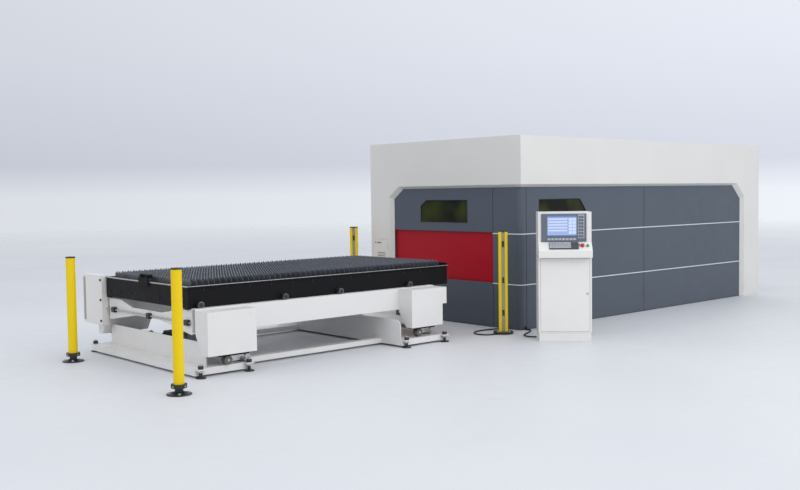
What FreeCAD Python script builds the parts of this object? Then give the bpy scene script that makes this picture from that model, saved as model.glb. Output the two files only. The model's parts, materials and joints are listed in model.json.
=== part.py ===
import FreeCAD, Part
import math
import os
import re
import Sketcher

# Fiber laser cutting machine with a shuttle table, in millimetres, +Z up.
# Lengths below are measured from the cabin's near corner at the doorway: x runs along the cabin,
# away from the table, y runs across it to the back, z is up from the floor.
# The row's own origin lies on the floor under the middle of the whole installation.

SIZES = {
    "datum": {
        "datum_x": -420,             # doorway plane, from the origin
        "datum_y": -870,             # near long side of the cabin, from the origin
        "centre_line": 1220,         # middle of the pallets' path
    },
    "cabin": {
        "cabin_length": 5380,
        "cabin_width": 2570,
        "cabin_height": 2200,
        "skin": 3,                   # sheet thickness of every cover
        "fascia_depth": 50,          # how far the white frame stands proud of the grey panels
        "band_bottom": 1620,         # lower edge of the white band
        "pillar_bevel": 45,
        "band_bevel": 30,
        "long_pillar": 465,          # pillar widths on the long sides and on the ends
        "short_pillar": 405,
        "long_chamfer_s": 220,
        "long_chamfer_z": 190,
        "short_chamfer_s": 175,
        "short_chamfer_z": 128,
        "panel_bottom": 8,
        "panel_lap": 15,             # how far a grey panel runs on behind the white frame
        "frame_bar": 60,             # square bar of the base frame and the inner frame
        "base_height": 100,
        "ring_drop": 100,            # top of the cabin down to the inner frame's top ring
        "roof_drop": 40,
        "corner_radius": 60,
        "corner_reach": 150,
        "doorway_near": 466,         # joint between the corner panel and the doorway
        "long_joint": 2474,          # joint between the two long panels
        "panel_seam": 1,
        "trim_height": 12,
        "trim_proud": 6,
        "upper_trim": 1083,
        "lower_trim": 507,
    },
    "windows": {
        "window_bottom": 1210,
        "window_top": 1476,
        "end_window_near": 877,
        "end_window_far": 1672,
        "end_window_cut_s": 102,
        "end_window_cut_z": 71,
        "long_window_start": 375,
        "long_window_end": 1262,
        "long_window_cut_s": 133,
        "long_window_cut_z": 158,
        "glass": 6,
        "glass_lap": 20,
    },
    "door": {
        "door_sill": 517,            # top of the panel below the doorway
        "door_head": 1103,           # bottom of the panel above it
        "door_lap": 17,
        "door_side_lap": 25,
        "guide_gap": 1,              # from the panels' flanges to the door guides
        "door_thick": 30,
        "door_rim": 20,
        "door_play": 0.5,
        "guide_wall": 3.5,
        "guide_room": 7,
    },
    "hatch": {
        "hatch_near": 2240,
        "hatch_far": 2530,
        "hatch_bottom": 250,
        "hatch_top": 975,
        "hatch_gap": 1.5,
        "hatch_skin": 2.5,
        "hinge_radius": 5,
        "hinge_stand": 5.5,
        "hinge_length": 60,
        "hinge_strap": 20,
        "lock_radius": 13,
        "lock_play": 0.05,
        "lock_inset": 38,
        "lock_drop": 41,
        "lock_proud": 2,
        "lock_length": 26,
        "slot_width": 4,
        "slot_length": 18,
        "slot_depth": 1,
    },
    "bed": {
        "bed_start": 330,
        "bed_end": 4000,
        "bed_gap": 120,              # from a pallet's side to the bed's side beam
        "bed_width": 165,
        "bed_height": 950,
        "bed_wall": 20,
        "bed_cross": 200,
        "bed_cross_height": 120,
        "rail_width": 30,
        "rail_height": 28,
        "rail_inset": 85,
        "rail_end": 60,
    },
    "gantry": {
        "gantry_x": 3560,
        "gantry_depth": 200,
        "gantry_height": 240,
        "truck_length": 300,
        "truck_width": 90,
        "truck_lift": 10,
        "truck_height": 50,
        "slide_play": 0.4,
        "carriage_width": 240,
        "carriage_depth": 120,
        "carriage_height": 300,
        "head_depth": 70,
        "head_width": 110,
        "head_height": 280,
        "head_tube_radius": 30,
        "head_tube_bottom": 900,
        "nozzle_tip": 845,
        "nozzle_radius": 4,
        "carriage_drop": 10,         # the carriage's lower edge, below the gantry beam
    },
    "source": {
        "source_x": 4300,
        "source_length": 850,
        "source_y": 1300,
        "source_width": 1050,
        "source_height": 1500,
        "vent_length": 260,
        "vent_height": 14,
        "vent_pitch": 34,
        "vent_drop": 120,
    },
    "pallets": {
        "pallet_start": -3950,       # shuttle pallet, from the doorway plane
        "inner_start": 400,          # pallet inside the cabin
        "pallet_length": 3200,
        "pallet_half": 800,
        "pallet_bottom": 570,
        "pallet_top": 775,
        "pallet_web": 6,
        "pallet_flange": 60,
        "pallet_flange_thick": 8,
        "pallet_cap_thick": 15,
        "pallet_lip": 15,
        "pallet_end_thick": 8,
        "pallet_end_top": 800,
        "cross_tube": 50,
        "slat_bottom": 680,
        "slat_top": 830,
        "slat_thick": 4,
        "slat_pitch": 60,
        "slat_margin": 60,
        "tooth_pitch": 50,
        "tooth_depth": 16,
        "tooth_land": 6,
        "latch_width": 180,
        "latch_reach": 15,
        "latch_bottom": 735,
        "latch_top": 812,
        "wheel_radius": 30,
        "wheel_width": 50,
        "wheel_gap": 10,
        "wheel_play": 0.3,
        "axle_radius": 12.5,
        "axle_play": 0.05,
        "track_height": 580,         # top of the tracks that the pallets' wheels run on
        "track_width": 65,
        "track_gap": 5,              # between a pallet's side and the tracks' inner edge
        "end_rise": 10,
        "tube_depth": 80,
    },
    "table": {
        "outer_start": -4020,
        "outer_length": 580,
        "outer_step": -60,           # base boxes' ends, out from the leg housings' faces
        "inner_base_start": -1690,
        "inner_length": 630,
        "inner_step": 15,
        "base_bottom": 20,
        "base_top": 80,
        "shield_thick": 10,
        "shield_top": 280,
        "shield_radius": 70,
        "outer_shield_back": 165,    # from the base box's outer face to the shield
        "outer_shield_inset": 90,
        "inner_shield_back": 0,
        "inner_shield_inset": 20,
        "tie_offset": 690,
        "tie_width": 80,
        "tie_height": 50,
        "lug_length": 80,
        "lug_reach": 50,
        "lug_thick": 12,
        "lug_inset": 45,
        "foot_radius": 45,
        "foot_thick": 10,
        "foot_stem": 14,
        "foot_head": 24,
        "foot_head_height": 28,
        "foot_play": 0.3,
    },
    "lift": {
        "beam_start": -3920,
        "beam_end": -1030,
        "beam_bottom": 360,
        "beam_wall": 8,
        "housing_depth": 200,        # leg housings, out from the tracks
        "housing_length": 500,
        "housing_drop": 15,
        "housing_wall": 6,
        "housing_foot": 90,
        "housing_slope_top": 340,
        "notch_length": 60,
        "notch_top": 400,
        "cross_thick": 12,
        "cross_bottom": 345,
        "cross_rise": 85,
        "cross_slope": 570,          # where the underside has risen, from the plate's end
        "cross_shoulder": 250,       # where the top starts to dip, and where it is lowest
        "cross_hollow": 490,
        "cross_drop": 20,
        "cross_dip": 80,
        "cross_setback": 60,         # inner plate, ahead of its leg housings
        "outer_pivot": -3470,
        "inner_pivot": -1170,
        "lever_length": 230,
        "shaft_height": 125,
        "shaft_radius": 25,
        "hub_radius": 38,
        "arm_thick": 20,
        "arm_half": 25,
        "arm_gap": 85,               # from the track's outer edge to the lever
        "roller_radius": 40,
        "roller_width": 60,
        "roller_gap": 8,
        "pin_radius": 12,
        "plate_thick": 14.5,
        "plate_inset": 5,
        "roller_play": 0.5,
        "plate_ahead": 100,
        "plate_behind": 200,
        "bracket_length": 100,
        "bracket_width": 60,
        "bracket_height": 85,
        "bracket_gap": 35,           # from the bearing block to the lever
        "gearbox_length": 160,
        "gearbox_width": 140,
        "gearbox_height": 170,
        "motor_radius": 65,
        "motor_length": 280,
        "motor_rise": 5,
        "pin_head": 4,
        "shaft_end": 10,             # the shaft's end, past the levers
        "cover_depth": 70,
        "cover_near": 2045,
        "cover_far": 2480,
        "cover_bottom": 285,
        "cover_top": 785,
    },
    "posts": {
        "mirror_radius": 43,
        "mirror_wall": 3,
        "mirror_height": 1000,
        "collar_bottom": 55,
        "collar_top": 85,
        "collar_radius": 64,
        "neck_radius": 34,
        "dome_radius": 100,
        "dome_rim": 8,
        "dome_top": 26,
        "curtain_width": 98,
        "curtain_depth": 80,
        "curtain_height": 1130,
        "channel_width": 36,
        "channel_depth": 14,
        "optic_back": 5,
        "lens_proud": 4,
        "lens_height": 70,
        "plate_radius": 110,
        "plate_height": 25,
        "lens_inset": 6,
        "post_gland_reach": 18,
        "post_gland_length": 40,
        "post_gland_shift": 3,
    },
    "console": {
        "console_x": -425,
        "console_y": -603,
        "console_turn": -46.9,       # degrees about +Z
        "console_width": 550,
        "console_depth": 420,
        "body_front": 15,
        "body_top": 880,
        "plinth_top": 90,
        "plinth_inset": 6,
        "console_wall": 3,
        "head_top": 1350,
        "screen_face": 40,
        "desk_back": 1040,
        "desk_front": 950,
        "desk_reach": 70,
        "bezel_start": 32,
        "bezel_width": 465,
        "bezel_bottom": 1042,
        "bezel_height": 290,
        "bezel_thick": 10,
        "screen_start": 60,
        "screen_width": 306,
        "screen_bottom": 55,
        "screen_height": 220,
        "screen_recess": 4,
        "screen_thick": 3,
        "keyboard_start": 110,
        "keyboard_width": 300,
        "keyboard_depth": 95,
        "keyboard_thick": 14,
        "keyboard_drop": 22,
        "stem_radius": 11,
        "stem_length": 30,
        "stem_play": 0.3,
        "estop_radius": 20,
        "estop_cap": 16,
        "estop_across": 450,
        "start_radius": 14,
        "start_cap": 10,
        "start_across": 505,
        "button_stand": 6,
        "button_drop": 70,
        "desk_wall": 3.9,            # the sloping sheet, measured upright
        "pass_radius": 25,           # hole for the wiring between cabinet and head
        "side_gland_inwards": 280,
        "side_gland_sink": 2,
    },
    "cables": {
        "cable_radius": 8,
        "cable_rest": 8.5,           # height of a lying cable's middle
        "gland_width": 30,
        "gland_height": 30,
        "low_gland_height": 25,
        "gland_proud": 10,
        "notch_width": 60,
        "notch_height": 38,
        "curtain_cable_entry": 306,
        "console_cable_entry": 130,
    },
}

# Centres of the free-standing posts: x, y from the near corner of the cabin.
MIRROR_POSTS = [(-4390, 1840), (-4440, -275)]
CURTAIN_POSTS = [(-244, 53), (-250, 2630)]
CURTAIN_TURN = -45
LENS_HEIGHTS = [200, 560, 960]

# The cables' routes on the floor, from the gland outside the cabin or the post to the other end.
CURTAIN_CABLE = [(-372, 50), (-432, 50), (-488, 82), (-522, 154), (-506, 243), (-438, 317),
                 (-325, 358), (-205, 348), (-93, 314), (-11, 306), (61, 306)]
CONSOLE_CABLE = [(130, 61), (130, 0), (93, -62), (-22, -127), (-141, -176), (-233, -233),
                 (-271, -298), (-267, -362), (-226.1, -405.9)]

VENTS = 8

# What a cutting tool overruns, and what welded pieces overlap.
LAP = 1

# Wheels and cross tubes of a pallet, from its outer end.
WHEELS = [100, 1005, 1670, 2600]
CROSS_TUBES = [300, 1150, 2000, 2900]

# The grey panels' flanges reach back to the inner frames, which clear the rounded corner.
FLANGE = "(0.3*corner_radius + skin)"
FRAME_LINE = "(fascia_depth + %s)" % FLANGE
DOOR_FACE = "(%s + guide_gap + guide_wall + door_play)" % FRAME_LINE

# Half widths across the pallets' path, each from the pallet outwards.
TRACK_HALF = "(pallet_half + track_gap + track_width)"
HOUSING_HALF = "(%s + housing_depth)" % TRACK_HALF
ARM_HALF = "(%s + arm_gap)" % TRACK_HALF
OUTER_HALF = "(%s + outer_step)" % HOUSING_HALF
INNER_HALF = "(%s + inner_step)" % HOUSING_HALF
BED_INNER = "(pallet_half + bed_gap)"
BED_OUTER = "(%s + bed_width)" % BED_INNER
TRACK_EDGE = "(centre_line - %s)" % TRACK_HALF

# The leg housings stand on the rollers, through their wear plates.
HOUSING_BOTTOM = "(shaft_height + roller_radius + roller_play + plate_thick)"

SIDES = {
    "front": ("{s}", "{d}", 0),
    "far": ("cabin_length - ({d})", "{s}", 90),
    "rear": ("cabin_length - ({s})", "cabin_width - ({d})", 180),
    "end": ("{d}", "cabin_width - ({s})", -90),
}

doc = FreeCAD.newDocument("LaserCuttingMachine")
sheet = doc.addObject("Spreadsheet::Sheet", "Sizes")
nodes = {}


def fill_sheet():
    """Write each driving size as a plain number with a named cell."""
    row = 1
    for group, sizes in SIZES.items():
        sheet.set("A%d" % row, group)
        row += 1
        for name, number in sizes.items():
            sheet.set("A%d" % row, name)
            sheet.set("B%d" % row, str(number))
            sheet.setAlias("B%d" % row, name)
            row += 1
    doc.recompute()


def bound(formula):
    """A formula in named sizes, as the document's expressions write it."""
    return re.sub(r"[a-z][a-z_]*", lambda word: "Sizes." + word.group(0), str(formula))


def value(formula):
    """The number that a formula gives now."""
    return float(sheet.evalExpression(bound(formula)))


def drive(thing, **formulas):
    """Bind properties of an object to formulas."""
    for name, formula in formulas.items():
        thing.setExpression(name.replace("_", "."), bound(formula))
    return thing


def place(thing, x, y, z, turn=0):
    """Put an object at x, y, z from the cabin's near corner, turned about +Z."""
    thing.Placement.Rotation = FreeCAD.Rotation(FreeCAD.Vector(0, 0, 1), turn)
    thing.setExpression("Placement.Base.x", bound("datum_x + (%s)" % x))
    thing.setExpression("Placement.Base.y", bound("datum_y + (%s)" % y))
    thing.setExpression("Placement.Base.z", bound(z))
    return thing


def add(kind, label):
    thing = doc.addObject(kind, label)
    thing.Label = label
    return thing


def node(thing, label):
    """Name a finished sub-part."""
    thing.Label = label
    nodes[label] = thing
    return thing


def box(label, corner, size):
    block = drive(add("Part::Box", label), Length=size[0], Width=size[1], Height=size[2])
    return place(block, *corner)


def rod(label, start, radius, length, axis):
    """A cylinder from a point along X, Y or Z."""
    bar = drive(add("Part::Cylinder", label), Radius=radius, Height=length)
    place(bar, *start)
    turns = {"X": FreeCAD.Rotation(FreeCAD.Vector(0, 1, 0), 90),
             "Y": FreeCAD.Rotation(FreeCAD.Vector(1, 0, 0), -90),
             "Z": FreeCAD.Rotation()}
    bar.Placement.Rotation = turns[axis]
    return bar


def fuse(label, parts):
    whole = add("Part::MultiFuse", label)
    whole.Shapes = parts
    whole.Refine = True
    return whole


def cut(label, base, *tools):
    """Take the tools away from the base."""
    whole = add("Part::Cut", label)
    whole.Base = base
    whole.Tool = tools[0] if len(tools) == 1 else fuse(label + "_tools", list(tools))
    return whole


def group(label, parts):
    """Separate like solids in one sub-part."""
    whole = add("Part::Compound", label)
    whole.Links = parts
    return whole


def origin_plane(body, role):
    return [feature for feature in body.Origin.OriginFeatures if feature.Role == role][0]


def outline(body, name, points, start="0", role="XZ_Plane"):
    """A closed outline whose corners are bound to formulas, start away from the body's plane."""
    sketch = body.newObject("Sketcher::SketchObject", name)
    sketch.AttachmentSupport = [(origin_plane(body, role), "")]
    sketch.MapMode = "FlatFace"
    away = "-(%s)" % start if role == "XZ_Plane" else start
    sketch.setExpression("AttachmentOffset.Base.z", bound(away))
    corners = [(value(a), value(b)) for a, b in points]
    count = len(corners)
    for i in range(count):
        ends = [FreeCAD.Vector(*corners[j], 0) for j in (i, (i + 1) % count)]
        sketch.addGeometry(Part.LineSegment(*ends))
    for i in range(count):
        sketch.addConstraint(Sketcher.Constraint("Coincident", i, 2, (i + 1) % count, 1))
    for i, formulas in enumerate(points):
        for kind, formula, now in zip(("DistanceX", "DistanceY"), formulas, corners[i]):
            index = sketch.addConstraint(Sketcher.Constraint(kind, -1, 1, i, 1, now))
            sketch.setExpression("Constraints[%d]" % index, bound(formula))
    return sketch


def rectangle(low_a, high_a, low_b, high_b):
    return [(low_a, low_b), (high_a, low_b), (high_a, high_b), (low_a, high_b)]


def pad(body, name, points, length, start="0", role="XZ_Plane"):
    """Extrude an outline towards the plane's positive axis."""
    profile = outline(body, name + "_outline", points, start, role)
    feature = body.newObject("PartDesign::Pad", name)
    feature.Profile = profile
    feature.Reversed = role == "XZ_Plane"
    return drive(feature, Length=length)


def pocket(body, name, points, length, start="0", role="XZ_Plane"):
    """Cut an outline out of the body towards the plane's positive axis."""
    profile = outline(body, name + "_outline", points, start, role)
    feature = body.newObject("PartDesign::Pocket", name)
    feature.Profile = profile
    feature.Reversed = role != "XZ_Plane"
    return drive(feature, Length=length)


def prism(label, points, length, start="0", role="XZ_Plane"):
    """A plate or bar of one outline, in the cabin's own directions."""
    body = add("PartDesign::Body", label)
    pad(body, label + "_pad", points, length, start, role)
    return place(body, "0", "0", "0")


def on_side(thing, side, s="0", d="0", z="0"):
    """Put an object on a side of the cabin: s along it, d inwards, z up."""
    x, y, turn = SIDES[side]
    return place(thing, x.format(s=s, d=d), y.format(s=s, d=d), z, turn)


def fillet_at(body, name, base, x, y, radius):
    """Round the upright edge of a body at x, y."""
    doc.recompute()
    edges = []
    for index, edge in enumerate(base.Shape.Edges, start=1):
        ends = [vertex.Point for vertex in edge.Vertexes]
        upright = len(ends) == 2 and abs(ends[0].z - ends[1].z) > 1
        if upright and all(math.hypot(p.x - value(x), p.y - value(y)) < 0.01 for p in ends):
            edges.append("Edge%d" % index)
    rounding = body.newObject("PartDesign::Fillet", name)
    rounding.Base = (base, edges)
    return drive(rounding, Radius=radius)


def mirrored(y, rear):
    """A y on the near half of the table, or its mirror image on the rear half."""
    return "2*centre_line - (%s)" % y if rear else y


def span(low, high, rear):
    """Corner and width of a near stretch of y, or of its mirror image."""
    return (mirrored(high if rear else low, rear), "(%s) - (%s)" % (high, low))


# ---- cabin ----

def fascia_outline(length, left, right, depth, inset):
    """The white frame's outline at a depth: a band, with a pillar where an end has one."""
    share = "(1 - (%s)/fascia_depth)" % depth
    side = "pillar_bevel*%s + %s" % (share, inset)
    under = "band_bottom + band_bevel*%s + %s" % (share, inset)
    low, high = "%s + %s" % (depth, inset), "%s - %s - %s" % (length, depth, inset)
    top = "cabin_height - %s" % inset
    points = []
    if left:
        edge = "%s_pillar - (%s)" % (left, side)
        points += [(low, inset), (edge, inset),
                   (edge, "%s - %s_chamfer_z" % (under, left)),
                   ("%s + %s_chamfer_s" % (edge, left), under)]
    else:
        points += [(low, under)]
    if right:
        edge = "%s - %s_pillar + %s" % (length, right, side)
        points += [("%s - %s_chamfer_s" % (edge, right), under),
                   (edge, "%s - %s_chamfer_z" % (under, right)),
                   (edge, inset), (high, inset)]
    else:
        points += [(high, under)]
    return points + [(high, top), (low, top)]


def fascia(label, side, length, left, right):
    """A folded white frame, mitred at the cabin's corners and open at its back."""
    body = add("PartDesign::Body", label)
    for name, kind, start, inset in (("outer", "AdditiveLoft", "0", "0"),
                                     ("hollow", "SubtractiveLoft", "skin", "skin")):
        faces = [outline(body, "%s_%s_%d" % (label, name, i),
                         fascia_outline(length, left, right, depth, inset), depth)
                 for i, depth in enumerate((start, "fascia_depth"))]
        loft = body.newObject("PartDesign::" + kind, "%s_%s" % (label, name))
        loft.Profile = faces[0]
        loft.Sections = [faces[1]]
        loft.Ruled = True
    return on_side(body, side)


def fascias():
    node(fascia("fascia_front", "front", "cabin_length", None, "long"), "fascia_front")
    node(fascia("fascia_far", "far", "cabin_width", "short", "short"), "fascia_far")
    node(fascia("fascia_rear", "rear", "cabin_length", "long", "long"), "fascia_rear")
    end = fascia("fascia_end", "end", "cabin_width", "short", None)
    pocket(end, "hatch_opening",
           rectangle("cabin_width - hatch_far", "cabin_width - hatch_near",
                     "hatch_bottom", "hatch_top"), "skin")
    node(end, "fascia_end")


def tray(label, side, start, end, bottom, top, window=None):
    """A grey panel: a sheet with return flanges all round, and a window opening if it has one."""
    body = add("PartDesign::Body", label)
    pad(body, label + "_block", rectangle(start, end, bottom, top), FLANGE, "fascia_depth")
    inner = rectangle("%s + skin" % start, "%s - skin" % end,
                      "%s + skin" % bottom, "%s - skin" % top)
    pocket(body, label + "_hollow", inner, FLANGE + " - skin", "fascia_depth + skin")
    if window:
        pocket(body, label + "_window", window, "skin", "fascia_depth")
    return on_side(body, side)


def end_window(lap="0"):
    """Window in the doorway end: its upper far corner is cut off. Lap makes the glass larger."""
    start = "cabin_width - end_window_far - %s" % lap
    end = "cabin_width - end_window_near + %s" % lap
    bottom, top = "window_bottom - %s" % lap, "window_top + %s" % lap
    return [(start, bottom), (end, bottom), (end, top),
            ("%s + end_window_cut_s" % start, top), (start, "%s - end_window_cut_z" % top)]


def long_window(lap="0"):
    """Window in the near long side: its upper corner away from the doorway is cut off."""
    start, end = "long_window_start - %s" % lap, "long_window_end + %s" % lap
    bottom, top = "window_bottom - %s" % lap, "window_top + %s" % lap
    return [(start, bottom), (end, bottom), (end, "%s - long_window_cut_z" % top),
            ("%s - long_window_cut_s" % end, top), (start, top)]


def panels():
    top = "band_bottom + panel_lap"
    doorway = ("(short_pillar - panel_lap)", "(cabin_width - doorway_near - panel_seam)")
    node(tray("end_panel_upper", "end", doorway[0], doorway[1],
              "door_head", top, end_window()), "end_panel_upper")
    node(tray("end_panel_lower", "end", doorway[0], doorway[1],
              "panel_bottom", "door_sill"), "end_panel_lower")
    near_end = "cabin_length - long_pillar + panel_lap"
    node(tray("front_panel_left", "front", "corner_reach + panel_seam",
              "long_joint - panel_seam", "panel_bottom", top, long_window()),
         "front_panel_left")
    node(tray("front_panel_right", "front", "long_joint", near_end, "panel_bottom", top),
         "front_panel_right")
    rear = [tray("rear_panel_a", "rear", "long_pillar - panel_lap",
                 "cabin_length/2 - panel_seam", "panel_bottom", top),
            tray("rear_panel_b", "rear", "cabin_length/2", near_end, "panel_bottom", top),
            tray("far_panel", "far", "short_pillar - panel_lap",
                 "cabin_width - short_pillar + panel_lap", "panel_bottom", top)]
    node(group("rear_panels", rear), "rear_panels")


def corner_panel():
    """The rounded corner sheet, with a notch under it for each cable."""
    body = add("PartDesign::Body", "corner_sheet")
    face, inside, back = "fascia_depth", "fascia_depth + skin", FRAME_LINE
    points = [(face, face), ("corner_reach", face), ("corner_reach", back),
              ("corner_reach - skin", back), ("corner_reach - skin", inside), (inside, inside),
              (inside, "doorway_near - skin"), (back, "doorway_near - skin"),
              (back, "doorway_near"), (face, "doorway_near")]
    height = "band_bottom + panel_lap - panel_bottom"
    block = pad(body, "corner_fold", points, height, "panel_bottom", "XY_Plane")
    outer = fillet_at(body, "corner_outer", block, face, face, "corner_radius")
    fillet_at(body, "corner_inner", outer, inside, inside, "corner_radius - skin")
    place(body, "0", "0", "0")
    notches = [box("curtain_notch", ("0", "curtain_cable_entry - notch_width/2", "0"),
                   ("2*fascia_depth", "notch_width", "notch_height")),
               box("console_notch", ("console_cable_entry - notch_width/2", "0", "0"),
                   ("notch_width", "2*fascia_depth", "notch_height"))]
    node(cut("corner_panel", body, *notches), "corner_panel")


def trim_strips():
    """Two light strips that run from the doorway round the corner to the far pillar."""
    strips = []
    outer, end = "fascia_depth - trim_proud", "cabin_length - long_pillar"
    for name in ("upper_trim", "lower_trim"):
        body = add("PartDesign::Body", name + "_strip")
        points = [(outer, outer), (end, outer), (end, "fascia_depth"),
                  ("fascia_depth", "fascia_depth"), ("fascia_depth", "doorway_near"),
                  (outer, "doorway_near")]
        block = pad(body, name + "_fold", points, "trim_height", name, "XY_Plane")
        bend = fillet_at(body, name + "_outer", block, outer, outer, "corner_radius + trim_proud")
        fillet_at(body, name + "_inner", bend, "fascia_depth", "fascia_depth", "corner_radius")
        strips.append(place(body, "0", "0", "0"))
    node(group("trim_strips", strips), "trim_strips")


def viewing_windows():
    panes = []
    for side, shape in (("end", end_window), ("front", long_window)):
        body = add("PartDesign::Body", side + "_glass")
        pad(body, side + "_pane", shape("glass_lap"), "glass", "fascia_depth + skin")
        panes.append(on_side(body, side))
    node(group("viewing_windows", panes), "viewing_windows")


def ring(label, bottom, height):
    """Four bars round the inside of the covers."""
    near = FRAME_LINE
    outer = box(label + "_outer", (near, near, bottom),
                ("cabin_length - 2*(%s)" % near, "cabin_width - 2*(%s)" % near, height))
    inside = near + " + frame_bar"
    inner = box(label + "_inner", (inside, inside, bottom),
                ("cabin_length - 2*(%s)" % inside, "cabin_width - 2*(%s)" % inside, height))
    return cut(label, outer, inner)


def base_frame():
    """Base ring with a gland block where each cable enters."""
    face = FRAME_LINE
    blocks = [box("curtain_gland", (face + " - gland_proud",
                                    "curtain_cable_entry - gland_width/2", "0"),
                  ("gland_proud + %d" % LAP, "gland_width", "gland_height")),
              box("console_gland", ("console_cable_entry - gland_width/2",
                                    face + " - gland_proud", "0"),
                  ("gland_width", "gland_proud + %d" % LAP, "gland_height"))]
    node(fuse("base_frame", [ring("base_ring", "0", "base_height")] + blocks), "base_frame")


def cabin_frame():
    near = FRAME_LINE
    far_x = "cabin_length - %s - frame_bar" % near
    far_y = "cabin_width - %s - frame_bar" % near
    height = "cabin_height - ring_drop - base_height"
    middle = "long_joint - frame_bar/2"
    feet = [(near, near), (far_x, near), (near, far_y), (far_x, far_y),
            (middle, near), (middle, far_y)]
    posts = [box("frame_post_%d" % i, (x, y, "base_height"), ("frame_bar", "frame_bar", height))
             for i, (x, y) in enumerate(feet)]
    top = ring("top_ring", "cabin_height - ring_drop", "ring_drop - roof_drop")
    node(fuse("cabin_frame", posts + [top]), "cabin_frame")


def roof_panel():
    """Roof tray, sunk between the white frames."""
    edge, bottom = "fascia_depth", "cabin_height - roof_drop"
    size = ("cabin_length - 2*fascia_depth", "cabin_width - 2*fascia_depth", "roof_drop")
    hollow = ("cabin_length - 2*(fascia_depth + skin)",
              "cabin_width - 2*(fascia_depth + skin)", "roof_drop")
    roof = box("roof_block", (edge, edge, bottom), size)
    inside = box("roof_hollow", (edge + " + skin", edge + " + skin", bottom + " + skin"), hollow)
    node(cut("roof_panel", roof, inside), "roof_panel")


def loading_door():
    """Framed red door that slides up behind the upper panel, in a channel at each edge."""
    body = add("PartDesign::Body", "loading_door")
    start = "short_pillar - door_side_lap"
    end = "cabin_width - doorway_near + door_side_lap"
    bottom, top = "door_sill - door_lap", "door_head + door_lap"
    face = DOOR_FACE
    pad(body, "door_block", rectangle(start, end, bottom, top), "door_thick", face)
    hollow = rectangle(start + " + door_rim", end + " - door_rim",
                       bottom + " + door_rim", top + " - door_rim")
    pocket(body, "door_hollow", hollow, "door_thick - skin", face + " + skin")
    node(on_side(body, "end"), "loading_door")


def door_guides():
    front, back = DOOR_FACE + " - door_play", DOOR_FACE + " + door_thick + door_play"
    height = "cabin_height - ring_drop - base_height"
    guides = []
    for name, lip, door_edge, way in (
            ("near_guide", "doorway_near - panel_seam", "doorway_near - door_side_lap", -1),
            ("rear_guide", "cabin_width - short_pillar + panel_seam",
             "cabin_width - short_pillar + door_side_lap", 1)):
        web = "%s + %d*guide_room" % (door_edge, way)
        outer = "%s + %d*guide_wall" % (web, way)
        points = [(front + " - guide_wall", outer), (back + " + guide_wall", outer),
                  (back + " + guide_wall", lip), (back, lip), (back, web), (front, web),
                  (front, lip), (front + " - guide_wall", lip)]
        guides.append(prism(name, points, height, "base_height", "XY_Plane"))
    node(group("door_guides", guides), "door_guides")


def hatch():
    """Service hatch in the rear pillar, on a barrel hinge, with a quarter-turn lock."""
    near, far = "hatch_near + hatch_gap", "hatch_far - hatch_gap"
    bottom, top = "hatch_bottom + hatch_gap", "hatch_top - hatch_gap"
    leaf = box("hatch_leaf", ("0", near, bottom),
               ("hatch_skin", "(%s) - (%s)" % (far, near), "(%s) - (%s)" % (top, bottom)))
    barrels, straps = [], []
    for i, height in enumerate((bottom + " + hinge_length",
                                top + " - 2*hinge_length")):
        barrels.append(rod("hinge_barrel_%d" % i, ("-hinge_stand", near, height),
                           "hinge_radius", "hinge_length", "Z"))
        straps.append(box("hinge_strap_%d" % i, ("-hinge_stand", near, height),
                          ("hinge_stand", "hinge_strap", "hinge_length")))
    lock_y, lock_z = "hatch_far - lock_inset", "hatch_top - lock_drop"
    hole = rod("lock_hole", (str(-LAP), lock_y, lock_z), "lock_radius + lock_play",
               "hatch_skin + %d" % (2 * LAP), "X")
    node(cut("hatch_door", fuse("hatch_folded", [leaf] + barrels + straps), hole), "hatch_door")
    barrel = rod("lock_barrel", ("-lock_proud", lock_y, lock_z), "lock_radius", "lock_length",
                 "X")
    slot = box("lock_slot", ("-lock_proud - %d" % LAP, "%s - slot_width/2" % lock_y,
                             "%s - slot_length/2" % lock_z),
               ("slot_depth + %d" % LAP, "slot_width", "slot_length"))
    node(cut("hatch_lock", barrel, slot), "hatch_lock")


# ---- cutting machine inside the cabin ----

def machine_bed():
    """Two hollow side beams joined by cross members, with a ledge for the pallet's wheels."""
    length = "bed_end - bed_start"
    parts = []
    for rear in (False, True):
        name = "rear" if rear else "near"
        corner, size = span("centre_line - " + BED_OUTER, "centre_line - " + BED_INNER, rear)
        beam = box(name + "_beam", ("bed_start", corner, "0"), (length, size, "bed_height"))
        hollow = box(name + "_beam_hollow",
                     ("bed_start - %d" % LAP, corner + " + bed_wall", "bed_wall"),
                     (length + " + %d" % (2 * LAP), size + " - 2*bed_wall",
                      "bed_height - 2*bed_wall"))
        ledge_y, ledge_width = span("centre_line - %s - %d" % (BED_INNER, LAP),
                                    "centre_line - pallet_half - track_gap", rear)
        ledge = box(name + "_ledge", ("bed_start", ledge_y, "track_height - bed_wall"),
                    (length, ledge_width, "bed_wall"))
        parts += [cut(name + "_box_beam", beam, hollow), ledge]
    for i, at in enumerate(("bed_start", "(bed_start + bed_end - bed_cross)/2",
                            "bed_end - bed_cross")):
        parts.append(box("bed_cross_%d" % i,
                         (at, "centre_line - %s - %d" % (BED_INNER, LAP), "0"),
                         ("bed_cross", "2*(%s + %d)" % (BED_INNER, LAP), "bed_cross_height")))
    node(fuse("machine_bed", parts), "machine_bed")


def rail_middle(rear):
    return mirrored("centre_line - %s + rail_inset" % BED_OUTER, rear)


def x_rails():
    rails = [box("x_rail_%d" % rear,
                 ("bed_start + rail_end", rail_middle(rear) + " - rail_width/2", "bed_height"),
                 ("bed_end - bed_start - 2*rail_end", "rail_width", "rail_height"))
             for rear in (False, True)]
    node(group("x_rails", rails), "x_rails")


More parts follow.
